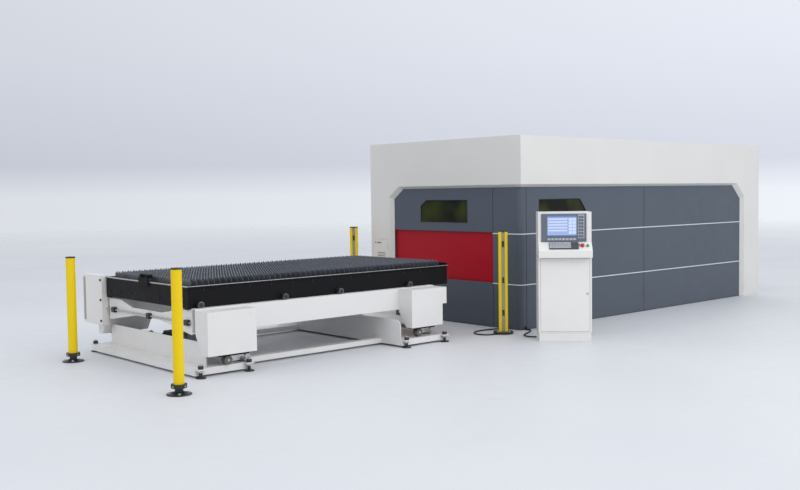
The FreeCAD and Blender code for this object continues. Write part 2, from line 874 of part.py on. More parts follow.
def gantry():
    """Gantry beam on two grooved trucks, with the carriage and head on its doorway side."""
    truck_z = "bed_height + truck_lift"
    beam_z = truck_z + " + truck_height"
    front, rear = rail_middle(False), rail_middle(True)
    parts = [box("gantry_box", ("gantry_x", front + " - truck_width/2", beam_z),
                 ("gantry_depth", "(%s) - (%s) + truck_width" % (rear, front),
                  "gantry_height"))]
    grooves = []
    start = "gantry_x + gantry_depth/2 - truck_length/2"
    for i, middle in enumerate((front, rear)):
        parts.append(box("truck_%d" % i, (start, middle + " - truck_width/2", truck_z),
                         ("truck_length", "truck_width", "truck_height")))
        grooves.append(box("truck_groove_%d" % i,
                           (start + " - %d" % LAP, middle + " - rail_width/2 - slide_play",
                            truck_z),
                           ("truck_length + %d" % (2 * LAP), "rail_width + 2*slide_play",
                            "rail_height - truck_lift + slide_play")))
    node(cut("gantry_beam", fuse("gantry_parts", parts), *grooves), "gantry_beam")
    carriage_z = beam_z + " - carriage_drop"
    carriage_x = "gantry_x - slide_play - carriage_depth"
    node(box("cutting_carriage",
             (carriage_x, "centre_line - carriage_width/2", carriage_z),
             ("carriage_depth", "carriage_width", "carriage_height")), "cutting_carriage")
    head_x = carriage_x + " - slide_play - head_depth"
    middle_x = head_x + " + head_depth/2"
    block = box("head_block", (head_x, "centre_line - head_width/2", carriage_z),
                ("head_depth", "head_width", "head_height"))
    tube = rod("head_tube", (middle_x, "centre_line", "head_tube_bottom"), "head_tube_radius",
               "%s + %d - head_tube_bottom" % (carriage_z, LAP), "Z")
    nozzle = drive(add("Part::Cone", "nozzle"), Radius1="nozzle_radius",
                   Radius2="head_tube_radius", Height="head_tube_bottom - nozzle_tip")
    place(nozzle, middle_x, "centre_line", "nozzle_tip")
    node(fuse("cutting_head", [block, tube, nozzle]), "cutting_head")


def laser_source():
    """Laser source cabinet: a sheet-metal box with a column of vents in its near face."""
    block = box("source_block", ("source_x", "source_y", "0"),
                ("source_length", "source_width", "source_height"))
    hollow = box("source_hollow", ("source_x + skin", "source_y + skin", "skin"),
                 ("source_length - 2*skin", "source_width - 2*skin",
                  "source_height - 2*skin"))
    vents = [box("source_vent_%d" % i,
                 ("source_x + (source_length - vent_length)/2", "source_y",
                  "source_height - vent_drop - %d*vent_pitch" % i),
                 ("vent_length", "skin", "vent_height")) for i in range(VENTS)]
    node(cut("laser_source", block, hollow, *vents), "laser_source")


# ---- pallets ----

def pallet_rail(name, start, rear):
    """Side rail of a pallet: a channel that opens inwards, with a lip along its top."""
    outer = "centre_line - pallet_half"
    inside = outer + " + pallet_flange"
    web = outer + " + pallet_web"
    cap = "pallet_top - pallet_cap_thick"
    sill = "pallet_bottom + pallet_flange_thick"
    points = [(outer, "pallet_bottom"), (inside, "pallet_bottom"), (inside, sill), (web, sill),
              (web, cap), (inside, cap), (inside, "pallet_top"),
              (outer + " - pallet_lip", "pallet_top"), (outer + " - pallet_lip", cap),
              (outer, cap)]
    points = [(mirrored(y, rear), z) for y, z in points]
    return prism(name, points, "pallet_length", start, "YZ_Plane")


def wheelset(name, at, extra_play="0"):
    """An axle across the pallet with a wheel at each end, running on the tracks."""
    height = "track_height + wheel_radius"
    outer = "centre_line - pallet_half - wheel_gap - wheel_width"
    axle = rod(name + "_axle", (at, outer, height), "axle_radius - %s" % extra_play,
               "2*(centre_line - (%s))" % outer, "Y")
    wheels = [rod("%s_wheel_%d" % (name, rear),
                  (at, span(outer, outer + " + wheel_width", rear)[0], height),
                  "wheel_radius - wheel_play", "wheel_width", "Y") for rear in (False, True)]
    return fuse(name, [axle] + wheels)


def pallet(prefix, start, turning_wheels):
    """Pallet frame. Its wheels turn in the rails, or are fixed where the pallet is parked."""
    outer = "centre_line - pallet_half"
    across = ("%s + %d" % (outer, LAP), "2*pallet_half - %d" % (2 * LAP))
    parts = [pallet_rail("%s_rail_%d" % (prefix, rear), start, rear) for rear in (False, True)]
    for i, offset in enumerate(CROSS_TUBES):
        parts.append(box("%s_cross_%d" % (prefix, i),
                         ("%s + %d" % (start, offset), across[0], "slat_bottom - tube_depth"),
                         ("cross_tube", across[1], "tube_depth")))
    for name, at, top in (("outer", start, "pallet_top"),
                          ("inner", "%s + pallet_length - pallet_end_thick" % start,
                           "pallet_end_top")):
        parts.append(box("%s_%s_end" % (prefix, name), (at, outer, "pallet_bottom + end_rise"),
                         ("pallet_end_thick", "2*pallet_half",
                          top + " - pallet_bottom - end_rise")))
    parts.append(box(prefix + "_latch",
                     (start + " - latch_reach", "centre_line - latch_width/2", "latch_bottom"),
                     ("latch_reach + %d" % LAP, "latch_width", "latch_top - latch_bottom")))
    places = ["%s + %d" % (start, offset) for offset in WHEELS]
    if turning_wheels:
        bores = [rod("%s_bore_%d" % (prefix, i),
                     (at, "%s - %d" % (outer, LAP), "track_height + wheel_radius"),
                     "axle_radius", "2*pallet_half + %d" % (2 * LAP), "Y")
                 for i, at in enumerate(places)]
        for i, at in enumerate(places, start=1):
            node(wheelset("wheelset_%d" % i, at, "axle_play"), "wheelset_%d" % i)
        return cut(prefix + "_frame", fuse(prefix + "_welded", parts), *bores)
    parts += [wheelset("%s_wheelset_%d" % (prefix, i), at) for i, at in enumerate(places)]
    return fuse(prefix + "_frame", parts)


def slat(length, land, depth, pitch, bottom, top, thick):
    """One upright slat with a row of teeth along its top, standing across the pallet."""
    count = int(length // pitch)
    margin = (length - count * pitch) / 2
    points = [(0, bottom), (length, bottom), (length, top - depth)]
    for i in reversed(range(count)):
        middle = margin + (i + 0.5) * pitch
        points += [(middle + pitch / 2 - land / 2, top - depth), (middle + land / 2, top),
                   (middle - land / 2, top), (middle - pitch / 2 + land / 2, top - depth)]
    points += [(0, top - depth)]
    corners = [FreeCAD.Vector(0, y, z) for y, z in points]
    face = Part.Face(Part.makePolygon(corners + corners[:1]))
    return face.extrude(FreeCAD.Vector(thick, 0, 0))


def slats(label, start):
    """All the slats of a pallet: copies of one solid, each a separate piece."""
    names = ("tooth_land", "tooth_depth", "tooth_pitch", "slat_bottom", "slat_top", "slat_thick")
    length = value("2*(pallet_half - pallet_flange)")
    one = slat(length, *[value(name) for name in names])
    room = value("pallet_length - 2*slat_margin - slat_thick")
    count = int(room // value("slat_pitch")) + 1
    lead = value("slat_margin") + (room - (count - 1) * value("slat_pitch")) / 2
    field = add("Part::Feature", label)
    copies = []
    for i in range(count):
        copy = one.copy()
        copy.translate(FreeCAD.Vector(lead + i * value("slat_pitch"), 0, 0))
        copies.append(copy)
    field.Shape = Part.makeCompound(copies)
    place(field, start, "centre_line - pallet_half + pallet_flange", "0")
    node(field, label)


def pallets():
    node(pallet("pallet", "pallet_start", True), "pallet_frame")
    node(pallet("inner_pallet", "inner_start", False), "inner_pallet_frame")
    slats("pallet_slats", "pallet_start")
    slats("inner_pallet_slats", "inner_start")


# ---- shuttle table ----

BASES = [("outer", "outer_start", "outer_length", OUTER_HALF),
         ("inner", "inner_base_start", "inner_length", INNER_HALF)]


def foot_places():
    """Middle of each levelling foot: two at each end of both base boxes."""
    places = []
    for name, start, length, half in BASES:
        for x in (start + " + lug_inset", "%s + %s - lug_inset" % (start, length)):
            for rear in (False, True):
                y = mirrored("centre_line - %s - lug_reach/2" % half, rear)
                places.append(("%s_%d" % (name, len(places)), x, y))
    return places


def shield(name, start, half):
    """An upright plate across a base box, with its upper corners rounded."""
    inset = "%s_shield_inset" % name
    near, far = "centre_line - %s + %s" % (half, inset), "centre_line + %s - %s" % (half, inset)
    body = add("PartDesign::Body", name + "_shield")
    plate = pad(body, name + "_shield_plate",
                rectangle(near, far, "base_top - %d" % LAP, "shield_top"), "shield_thick",
                "%s + %s_shield_back" % (start, name), "YZ_Plane")
    doc.recompute()
    corners = ["Edge%d" % index for index, edge in enumerate(plate.Shape.Edges, start=1)
               if all(abs(vertex.Z - value("shield_top")) < 0.01 for vertex in edge.Vertexes)
               and edge.BoundBox.YLength < 0.01]
    rounding = body.newObject("PartDesign::Fillet", name + "_shield_rounding")
    rounding.Base = (plate, corners)
    drive(rounding, Radius="shield_radius")
    return place(body, "0", "0", "0")


def table_base():
    """Two low boxes with an upright shield each, feet lugs, and two ties between them."""
    parts = []
    for name, start, length, half in BASES:
        parts.append(box(name + "_base_box", (start, "centre_line - %s" % half, "base_bottom"),
                         (length, "2*%s" % half, "base_top - base_bottom")))
        parts.append(shield(name, start, half))
    for rear in (False, True):
        corner, width = span("centre_line - tie_offset - tie_width", "centre_line - tie_offset",
                             rear)
        tie_start = "outer_start + outer_length - %d" % LAP
        parts.append(box("tie_%d" % rear, (tie_start, corner, "base_bottom"),
                         ("inner_base_start + %d - (%s)" % (LAP, tie_start), width,
                          "tie_height")))
    holes = []
    for name, x, y in foot_places():
        near = "%s - lug_reach/2 - %d" % (y, LAP)
        parts.append(box("lug_" + name, (x + " - lug_length/2", near, "base_top - lug_thick"),
                         ("lug_length", "lug_reach + %d" % (2 * LAP), "lug_thick")))
        holes.append(rod("lug_hole_" + name, (x, y, "base_top - lug_thick - %d" % LAP),
                         "foot_stem + foot_play", "lug_thick + %d" % (2 * LAP), "Z"))
    node(cut("table_base", fuse("table_base_welded", parts), *holes), "table_base")


def table_feet():
    """Levelling feet: a pad, a threaded stem and a head that bears on the lug."""
    feet = []
    for name, x, y in foot_places():
        pieces = [rod("foot_pad_" + name, (x, y, "0"), "foot_radius", "foot_thick", "Z"),
                  rod("foot_stem_" + name, (x, y, "0"), "foot_stem",
                      "base_top + %d" % LAP, "Z"),
                  rod("foot_head_" + name, (x, y, "base_top"), "foot_head",
                      "foot_head_height", "Z")]
        feet.append(fuse("foot_" + name, pieces))
    node(group("table_feet", feet), "table_feet")


def housing(name, start, length, top, rear):
    """Leg housing: an upright box whose back lower edge slopes up to the beam, open below."""
    back = TRACK_EDGE
    front = "centre_line - " + HOUSING_HALF
    toe = front + " + housing_foot"
    points = [(front, HOUSING_BOTTOM), (toe, HOUSING_BOTTOM), (back, "housing_slope_top"),
              (back, top), (front, top)]
    wall = "housing_wall"
    sill = "%s - %d" % (HOUSING_BOTTOM, LAP)
    inner = [("%s + %s" % (front, wall), sill), ("%s - %s" % (toe, wall), sill),
             ("%s - %s" % (back, wall), "housing_slope_top + %s" % wall),
             ("%s - %s" % (back, wall), "%s - %s" % (top, wall)),
             ("%s + %s" % (front, wall), "%s - %s" % (top, wall))]
    shell = prism(name, [(mirrored(y, rear), z) for y, z in points], length, start, "YZ_Plane")
    hollow = prism(name + "_hollow", [(mirrored(y, rear), z) for y, z in inner],
                   "%s - 2*%s" % (length, wall), "%s + %s" % (start, wall), "YZ_Plane")
    return cut(name + "_shell", shell, hollow)


def lift_beam(label, rear):
    """Box beam of the lift frame with a leg housing at each end, and the track on top."""
    corner, width = span(TRACK_EDGE, "centre_line - pallet_half - track_gap", rear)
    length = "beam_end - beam_start"
    beam = box(label + "_block", ("beam_start", corner, "beam_bottom"),
               (length, width, "track_height - beam_bottom"))
    hollow = box(label + "_hollow", ("beam_start - %d" % LAP, corner + " + beam_wall",
                                     "beam_bottom + beam_wall"),
                 ("%s + %d" % (length, 2 * LAP), width + " - 2*beam_wall",
                  "track_height - beam_bottom - 2*beam_wall"))
    outer = housing(label + "_outer", "beam_start", "housing_length",
                    "track_height - housing_drop", rear)
    inner = housing(label + "_inner", "beam_end - housing_length", "housing_length",
                    "track_height - housing_drop/2", rear)
    low, size = span("centre_line - %s - %d" % (HOUSING_HALF, LAP), TRACK_EDGE, rear)
    sill = "(%s - %d)" % (HOUSING_BOTTOM, LAP)
    notch = box(label + "_notch", ("beam_end - notch_length", low, sill),
                ("notch_length + %d" % LAP, size, "notch_top - " + sill))
    parts = [cut(label + "_tube", beam, hollow), outer, cut(label + "_notched", inner, notch)]
    node(fuse(label, parts), label)


def cross_plate(label, start):
    """Plate between the lift beams: deep at its ends, shallow in the middle."""
    near = "centre_line - pallet_half - track_gap"
    top, dip = "track_height - cross_drop", "track_height - cross_dip"
    half = [(near, top), (near, "cross_bottom"),
            (near + " + cross_slope", "cross_bottom + cross_rise")]
    over = [(near + " + cross_hollow", dip), (near + " + cross_shoulder", top)]
    points = half + [(mirrored(y, True), z) for y, z in reversed(half)]
    points += [(mirrored(y, True), z) for y, z in reversed(over)] + over
    node(prism(label, points, "cross_thick", start, "YZ_Plane"), label)


def wear_plates():
    """Plates under the leg housings that the rollers push on."""
    plates = []
    for name, pivot in (("outer", "outer_pivot"), ("inner", "inner_pivot")):
        for rear in (False, True):
            corner, width = span("centre_line - %s + plate_inset" % HOUSING_HALF,
                                 "centre_line - %s + housing_foot" % HOUSING_HALF, rear)
            roller = "%s - lever_length" % pivot
            plates.append(box("wear_plate_%s_%d" % (name, rear),
                              (roller + " - plate_ahead", corner,
                               HOUSING_BOTTOM + " - plate_thick"),
                              ("plate_ahead + plate_behind", width, "plate_thick")))
    node(group("wear_plates", plates), "wear_plates")


def lift_shaft(label, pivot):
    """Torsion shaft across the base with a lever near each end; each lever carries a pin."""
    half = "(%s + arm_thick + shaft_end)" % ARM_HALF
    parts = [rod(label + "_shaft", (pivot, "centre_line - " + half, "shaft_height"),
                 "shaft_radius", "2*" + half, "Y")]
    for rear in (False, True):
        arm_y, arm_width = span("centre_line - %s - arm_thick" % ARM_HALF,
                                "centre_line - " + ARM_HALF, rear)
        tip = pivot + " - lever_length"
        parts.append(rod("%s_hub_%d" % (label, rear), (pivot, arm_y, "shaft_height"),
                         "hub_radius", arm_width, "Y"))
        parts.append(rod("%s_eye_%d" % (label, rear), (tip, arm_y, "shaft_height"),
                         "arm_half", arm_width, "Y"))
        parts.append(box("%s_arm_%d" % (label, rear), (tip, arm_y, "shaft_height - arm_half"),
                         ("lever_length", arm_width, "2*arm_half")))
        pin_y, pin_width = span("centre_line - %s - arm_thick - roller_gap - roller_width"
                                " - pin_head" % ARM_HALF, "centre_line - " + ARM_HALF, rear)
        parts.append(rod("%s_pin_%d" % (label, rear), (tip, pin_y, "shaft_height"),
                         "pin_radius", pin_width, "Y"))
    node(fuse(label, parts), label)


def lift_rollers(label, pivot):
    rollers = []
    for rear in (False, True):
        edge = "centre_line - %s - arm_thick - roller_gap" % ARM_HALF
        low, width = span(edge + " - roller_width", edge, rear)
        at = ("%s - lever_length" % pivot, low, "shaft_height")
        wheel = rod("%s_%d" % (label, rear), at, "roller_radius", width, "Y")
        bore = rod("%s_bore_%d" % (label, rear), at, "pin_radius + axle_play", width, "Y")
        rollers.append(cut("%s_wheel_%d" % (label, rear), wheel, bore))
    node(group(label, rollers), label)


def lever_brackets():
    """Bearing blocks that hold the torsion shafts on the base boxes."""
    blocks = []
    for pivot in ("outer_pivot", "inner_pivot"):
        for rear in (False, True):
            corner, width = span("centre_line - %s + bracket_gap" % ARM_HALF,
                                 "centre_line - %s + bracket_gap + bracket_width" % ARM_HALF,
                                 rear)
            name = "%s_bracket_%d" % (pivot, rear)
            block = box(name, (pivot + " - bracket_length/2", corner, "base_top"),
                        ("bracket_length", width, "bracket_height"))
            bore = rod(name + "_bore", (pivot, "%s - %d" % (corner, LAP), "shaft_height"),
                       "shaft_radius + axle_play", "%s + %d" % (width, 2 * LAP), "Y")
            blocks.append(cut(name + "_bored", block, bore))
    node(group("lever_brackets", blocks), "lever_brackets")


def lift_motor():
    """Hollow-shaft gear motor on the outer torsion shaft."""
    low = "centre_line - gearbox_width/2"
    gearbox = box("gearbox", ("outer_pivot - gearbox_length/2", low, "base_top"),
                  ("gearbox_length", "gearbox_width", "gearbox_height"))
    motor = rod("motor_barrel", ("outer_pivot - gearbox_length/2 - motor_length", "centre_line",
                                 "base_top + gearbox_height/2 + motor_rise"),
                "motor_radius", "motor_length + %d" % LAP, "X")
    bore = rod("gearbox_bore", ("outer_pivot", "%s - %d" % (low, LAP), "shaft_height"),
               "shaft_radius + axle_play", "gearbox_width + %d" % (2 * LAP), "Y")
    node(cut("lift_motor", fuse("gear_motor", [gearbox, motor]), bore), "lift_motor")


def drive_cover():
    """Folded cover of the pallet drive, on the outer end of the rear leg housing."""
    start = "beam_start - cover_depth"
    size = ("cover_depth", "cover_far - cover_near", "cover_top - cover_bottom")
    block = box("cover_block", (start, "cover_near", "cover_bottom"), size)
    hollow = box("cover_hollow", (start + " + skin", "cover_near + skin", "cover_bottom + skin"),
                 ("cover_depth", size[1] + " - 2*skin", size[2] + " - 2*skin"))
    node(cut("drive_cover", block, hollow), "drive_cover")


def table():
    table_base()
    table_feet()
    lift_beam("front_lift_beam", False)
    lift_beam("rear_lift_beam", True)
    cross_plate("outer_cross_plate", "beam_start")
    cross_plate("inner_cross_plate", "beam_end - housing_length - cross_setback")
    wear_plates()
    for name in ("outer", "inner"):
        lift_shaft("lift_shaft_" + name, name + "_pivot")
        lift_rollers("lift_rollers_" + name, name + "_pivot")
    lever_brackets()
    lift_motor()
    drive_cover()


# ---- posts ----

def turned(label, points, x, y):
    """A turned piece: an outline of radius and height, revolved about the upright axis."""
    body = add("PartDesign::Body", label)
    profile = outline(body, label + "_outline", points)
    feature = body.newObject("PartDesign::Revolution", label + "_turn")
    feature.Profile = profile
    feature.ReferenceAxis = (profile, ["V_Axis"])
    feature.Angle = 360
    return place(body, str(x), str(y), "0")


def mirror_posts():
    tube = [("0", "collar_top"), ("mirror_radius", "collar_top"),
            ("mirror_radius", "mirror_height"), ("0", "mirror_height"),
            ("0", "mirror_height - mirror_wall"),
            ("mirror_radius - mirror_wall", "mirror_height - mirror_wall"),
            ("mirror_radius - mirror_wall", "collar_top + mirror_wall"),
            ("0", "collar_top + mirror_wall")]
    tubes = [turned("mirror_post_%d" % i, tube, x, y)
             for i, (x, y) in enumerate(MIRROR_POSTS)]
    node(group("mirror_posts", tubes), "mirror_posts")


def post_bases():
    """Black feet: domed flanges with a collar, and round plates with a gland block."""
    dome = [("0", "0"), ("dome_radius", "0"), ("dome_radius", "dome_rim"),
            ("neck_radius", "dome_top"), ("neck_radius", "collar_bottom"),
            ("collar_radius", "collar_bottom"), ("collar_radius", "collar_top"),
            ("0", "collar_top")]
    feet = [turned("mirror_foot_%d" % i, dome, x, y) for i, (x, y) in enumerate(MIRROR_POSTS)]
    for i, (x, y) in enumerate(CURTAIN_POSTS):
        plate = rod("curtain_plate_%d" % i, (str(x), str(y), "0"), "plate_radius",
                    "plate_height", "Z")
        if i == 0:
            gland = box("post_gland", ("%d - plate_radius - post_gland_reach" % x,
                                       "%d - post_gland_shift - gland_width/2" % y, "0"),
                        ("post_gland_length", "gland_width", "low_gland_height"))
            plate = fuse("curtain_foot_%d" % i, [plate, gland])
        feet.append(plate)
    node(group("post_bases", feet), "post_bases")


def spin(thing, x, y):
    """Turn a curtain post's piece, drawn about the origin, and stand it at its place."""
    return place(thing, str(x), str(y), "0", CURTAIN_TURN)


def light_curtains():
    """Light-curtain columns, with an insert that carries the lenses in a groove down the front."""
    columns, inserts = [], []
    half, mouth = "curtain_width/2", "channel_width/2"
    front, back = "-curtain_depth/2", "curtain_depth/2"
    groove = front + " + channel_depth"
    section = [("-" + half, front), ("-" + mouth, front), ("-" + mouth, groove),
               (mouth, groove), (mouth, front), (half, front), (half, back), ("-" + half, back)]
    for i, (x, y) in enumerate(CURTAIN_POSTS):
        column = add("PartDesign::Body", "curtain_%d" % i)
        pad(column, "curtain_pad_%d" % i, section, "curtain_height - plate_height",
            "plate_height", "XY_Plane")
        columns.append(spin(column, x, y))
        insert = add("PartDesign::Body", "curtain_insert_%d" % i)
        strip = rectangle("-" + mouth, mouth, groove + " - optic_back", groove)
        pad(insert, "insert_pad_%d" % i, strip, "curtain_height - plate_height", "plate_height",
            "XY_Plane")
        for j, height in enumerate(LENS_HEIGHTS):
            lens = rectangle("-%s + lens_inset" % mouth, mouth + " - lens_inset",
                             groove + " - optic_back - lens_proud", groove)
            pad(insert, "lens_%d_%d" % (i, j), lens, "lens_height", str(height), "XY_Plane")
        inserts.append(spin(insert, x, y))
    node(group("light_curtains", columns), "light_curtains")
    node(group("curtain_optics", inserts), "curtain_optics")


# ---- console ----

def at_console(thing, across="0", inwards="0", up="0", lean=0):
    """Put a piece in the console's own directions: across its front, into it, and up."""
    turn = FreeCAD.Rotation(FreeCAD.Vector(0, 0, 1), value("console_turn"))
    corner = FreeCAD.Vector(value("datum_x + console_x"), value("datum_y + console_y"), 0)
    offset = FreeCAD.Vector(value(across), value(inwards), value(up))
    lean_turn = FreeCAD.Rotation(FreeCAD.Vector(1, 0, 0), lean)
    thing.Placement = FreeCAD.Placement(corner + turn.multVec(offset), turn.multiply(lean_turn))
    return thing


def plain_box(label, size):
    return drive(add("Part::Box", label), Length=size[0], Width=size[1], Height=size[2])


def desk_lean():
    """Slope of the desk, in degrees."""
    return math.degrees(math.atan2(value("desk_back - desk_front"),
                                   value("screen_face + desk_reach")))


def on_desk(thing, across, down, height="0"):
    """Put a piece on the sloping desk: down from its back edge, and standing square on it."""
    lean = math.radians(desk_lean())
    drop, stand = value(down), value(height)
    inwards = value("screen_face") - drop * math.cos(lean) - stand * math.sin(lean)
    up = value("desk_back") - drop * math.sin(lean) + stand * math.cos(lean)
    return at_console(thing, across, str(inwards), str(up), desk_lean())


def console_cabinet():
    """Folded cabinet on a slightly narrower plinth, open below, with a gland block."""
    wall = "console_wall"
    depth = "console_depth - body_front"
    body = at_console(plain_box("console_body", ("console_width", depth, "body_top - plinth_top")),
                      "0", "body_front", "plinth_top")
    plinth = at_console(plain_box("console_plinth",
                                  ("console_width - 2*plinth_inset",
                                   depth + " - 2*plinth_inset", "plinth_top")),
                        "plinth_inset", "body_front + plinth_inset")
    inset = "plinth_inset + " + wall
    hollow = at_console(plain_box("console_hollow",
                                  ("console_width - 2*(%s)" % inset,
                                   "%s - 2*(%s)" % (depth, inset),
                                   "body_top - %s + %d" % (wall, LAP))),
                        inset, "body_front + " + inset, str(-LAP))
    gland = at_console(plain_box("console_side_gland",
                                 ("gland_proud + plinth_inset", "gland_width",
                                  "low_gland_height")),
                       "side_gland_sink - gland_proud", "side_gland_inwards - gland_width/2")
    shell = cut("console_shell", fuse("console_outer", [body, plinth, gland]), hollow)
    node(shell, "console_cabinet")


def console_head():
    """Head with an upright screen face and a sloping desk below it."""
    body = add("PartDesign::Body", "console_head_block")
    desk_edge = "-desk_reach"
    points = [("console_depth", "body_top"), ("console_depth", "head_top"),
              ("screen_face", "head_top"), ("screen_face", "desk_back"),
              (desk_edge, "desk_front"), (desk_edge, "body_top")]
    pad(body, "head_pad", points, "console_width", "0", "YZ_Plane")
    at_console(body)
    wall = "console_wall"
    hollow = add("PartDesign::Body", "console_head_hollow")
    inner = [("console_depth - " + wall, "body_top + " + wall),
             ("console_depth - " + wall, "head_top - " + wall),
             ("screen_face + " + wall, "head_top - " + wall),
             ("screen_face + " + wall, "desk_back - desk_wall"),
             (desk_edge + " + " + wall, "desk_front - desk_wall"),
             (desk_edge + " + " + wall, "body_top + " + wall)]
    pad(hollow, "hollow_pad", inner, "console_width - 2*" + wall, wall, "YZ_Plane")
    at_console(hollow)
    pass_hole = drive(add("Part::Cylinder", "cable_pass"), Radius="pass_radius",
                      Height="3*console_wall")
    at_console(pass_hole, "console_width/2", "console_depth/2", "body_top - console_wall")
    tools = [hollow, pass_hole]
    for name in ("estop", "start"):
        hole = drive(add("Part::Cylinder", name + "_hole"), Radius="stem_radius + stem_play",
                     Height="stem_length")
        tools.append(on_desk(hole, name + "_across", "button_drop", "-stem_length/2"))
    node(cut("console_head", body, *tools), "console_head")


def console_front():
    """Bezel with a sunk screen, keyboard on the desk, and two push buttons."""
    bezel = at_console(plain_box("bezel_block", ("bezel_width", "bezel_thick", "bezel_height")),
                       "bezel_start", "screen_face - bezel_thick", "bezel_bottom")
    corner = ("bezel_start + screen_start", "screen_face - bezel_thick",
              "bezel_bottom + screen_bottom")
    recess = at_console(plain_box("screen_recess_block",
                                  ("screen_width", "screen_recess", "screen_height")), *corner)
    node(cut("console_bezel", bezel, recess), "console_bezel")
    screen = plain_box("console_screen", ("screen_width", "screen_thick", "screen_height"))
    at_console(screen, corner[0], "screen_face - bezel_thick + screen_recess - screen_thick",
               corner[2])
    node(screen, "console_screen")
    keyboard = plain_box("console_keyboard", ("keyboard_width", "keyboard_depth",
                                              "keyboard_thick"))
    on_desk(keyboard, "keyboard_start", "keyboard_drop + keyboard_depth")
    node(keyboard, "console_keyboard")
    for name, label in (("estop", "estop_button"), ("start", "start_button")):
        stem = drive(add("Part::Cylinder", name + "_stem"), Radius="stem_radius",
                     Height="stem_length + button_stand")
        on_desk(stem, name + "_across", "button_drop", "-stem_length")
        cap = drive(add("Part::Cylinder", name + "_cap_disc"), Radius=name + "_radius",
                    Height=name + "_cap")
        on_desk(cap, name + "_across", "button_drop", "button_stand")
        node(fuse(label, [stem, cap]), label)


# ---- cables ----

def cable(label, route):
    """A round cable along straight runs joined by tangent arcs."""
    height, radius = value("cable_rest"), value("cable_radius")
    origin = FreeCAD.Vector(value("datum_x"), value("datum_y"), height)
    points = [origin + FreeCAD.Vector(x, y, 0) for x, y in route]
    edges, start, radii = [], points[0], []
    for before, corner, after in zip(points, points[1:], points[2:]):
        inward, outward = (corner - before), (after - corner)
        reach = 0.45 * min(inward.Length, outward.Length)
        turn = inward.getAngle(outward)
        radii.append(reach / math.tan(turn / 2))
        inward.normalize()
        outward.normalize()
        first, last = corner - inward * reach, corner + outward * reach
        bisector = outward - inward
        bisector.normalize()
        centre = corner + bisector * (radii[-1] / math.cos(turn / 2))
        middle = centre - bisector * radii[-1]
        edges += [Part.LineSegment(start, first).toShape(),
                  Part.Arc(first, middle, last).toShape()]
        start = last
    edges.append(Part.LineSegment(start, points[-1]).toShape())
    path = Part.Wire(edges)
    heading = points[1] - points[0]
    section = Part.Wire([Part.makeCircle(radius, points[0], heading)])
    tube = path.makePipeShell([section], True, False)
    thing = add("Part::Feature", label)
    thing.Shape = tube
    node(thing, label)
    exact = math.pi * radius ** 2 * path.Length
    print("%s: length %.0f mm, radii %s, volume %.4f of section times length" % (
        label, path.Length, [round(r) for r in radii], tube.Volume / exact))


def check_and_write():
    """Refuse any failed object, then write one STEP file for each sub-part."""
    doc.recompute()
    failed = [thing.Label for thing in doc.Objects
              if "Invalid" in thing.State or "Error" in thing.State]
    for label, thing in nodes.items():
        shape = thing.Shape
        if shape.isNull() or not shape.isValid() or not shape.Solids:
            failed.append(label)
    if failed:
        raise RuntimeError("failed objects: %s" % sorted(set(failed)))
    os.makedirs("parts", exist_ok=True)
    for label, thing in nodes.items():
        thing.Shape.exportStep("parts/%s.step" % label)
    print("%d sub-parts written" % len(nodes))


fill_sheet()
fascias()
panels()
corner_panel()
trim_strips()
viewing_windows()
base_frame()
cabin_frame()
roof_panel()
loading_door()
door_guides()
hatch()
machine_bed()
x_rails()
gantry()
laser_source()
pallets()
table()
mirror_posts()
post_bases()
light_curtains()
console_cabinet()
console_head()
console_front()
cable("curtain_cable", CURTAIN_CABLE)
cable("console_cable", CONSOLE_CABLE)
check_and_write()
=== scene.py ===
import json
import math

import bmesh
import bpy
from mathutils import Matrix, Vector


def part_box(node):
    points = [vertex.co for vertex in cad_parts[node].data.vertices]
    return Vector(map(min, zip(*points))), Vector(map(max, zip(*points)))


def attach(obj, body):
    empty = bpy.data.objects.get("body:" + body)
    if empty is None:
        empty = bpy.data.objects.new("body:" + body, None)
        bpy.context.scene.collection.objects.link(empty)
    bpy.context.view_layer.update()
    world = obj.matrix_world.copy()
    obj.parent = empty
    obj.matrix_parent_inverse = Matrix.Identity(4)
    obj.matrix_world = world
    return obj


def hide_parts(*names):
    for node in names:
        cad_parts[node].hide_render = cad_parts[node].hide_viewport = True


# Fiber laser cutting machine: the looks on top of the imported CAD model, in metres.

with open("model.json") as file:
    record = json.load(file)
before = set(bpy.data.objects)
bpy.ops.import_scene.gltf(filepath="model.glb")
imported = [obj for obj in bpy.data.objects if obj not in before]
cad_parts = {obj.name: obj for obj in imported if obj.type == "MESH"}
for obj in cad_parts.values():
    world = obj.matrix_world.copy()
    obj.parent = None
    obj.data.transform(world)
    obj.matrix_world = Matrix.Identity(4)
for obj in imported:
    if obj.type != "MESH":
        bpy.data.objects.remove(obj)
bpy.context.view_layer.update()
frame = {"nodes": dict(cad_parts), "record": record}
scene = bpy.context.scene
scene.view_settings.view_transform = "Standard"

X, Y, Z = Vector((1, 0, 0)), Vector((0, 1, 0)), Vector((0, 0, 1))


def corners(node):
    """A CAD node's lowest and highest corners at rest."""
    return tuple(Vector(corner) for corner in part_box(node))


# The cabin's near corner at the doorway, to a micrometre. Places on the cabin, the camera and
# the cables are given from there.
CABIN_CORNER = corners("fascia_front")[0]
DATUM = Vector((round(CABIN_CORNER.x, 6), round(CABIN_CORNER.y, 6), 0))


# ---- camera, floor and light ----

def turned(yaw, pitch, roll=0.0):
    """Rotation of a camera or lamp that looks along a yaw about +Z and a pitch below level."""
    turn = Matrix.Rotation(math.radians(yaw - 90), 4, "Z")
    turn = turn @ Matrix.Rotation(math.radians(90 - pitch), 4, "X")
    return (turn @ Matrix.Rotation(math.radians(roll), 4, "Z")).to_euler()


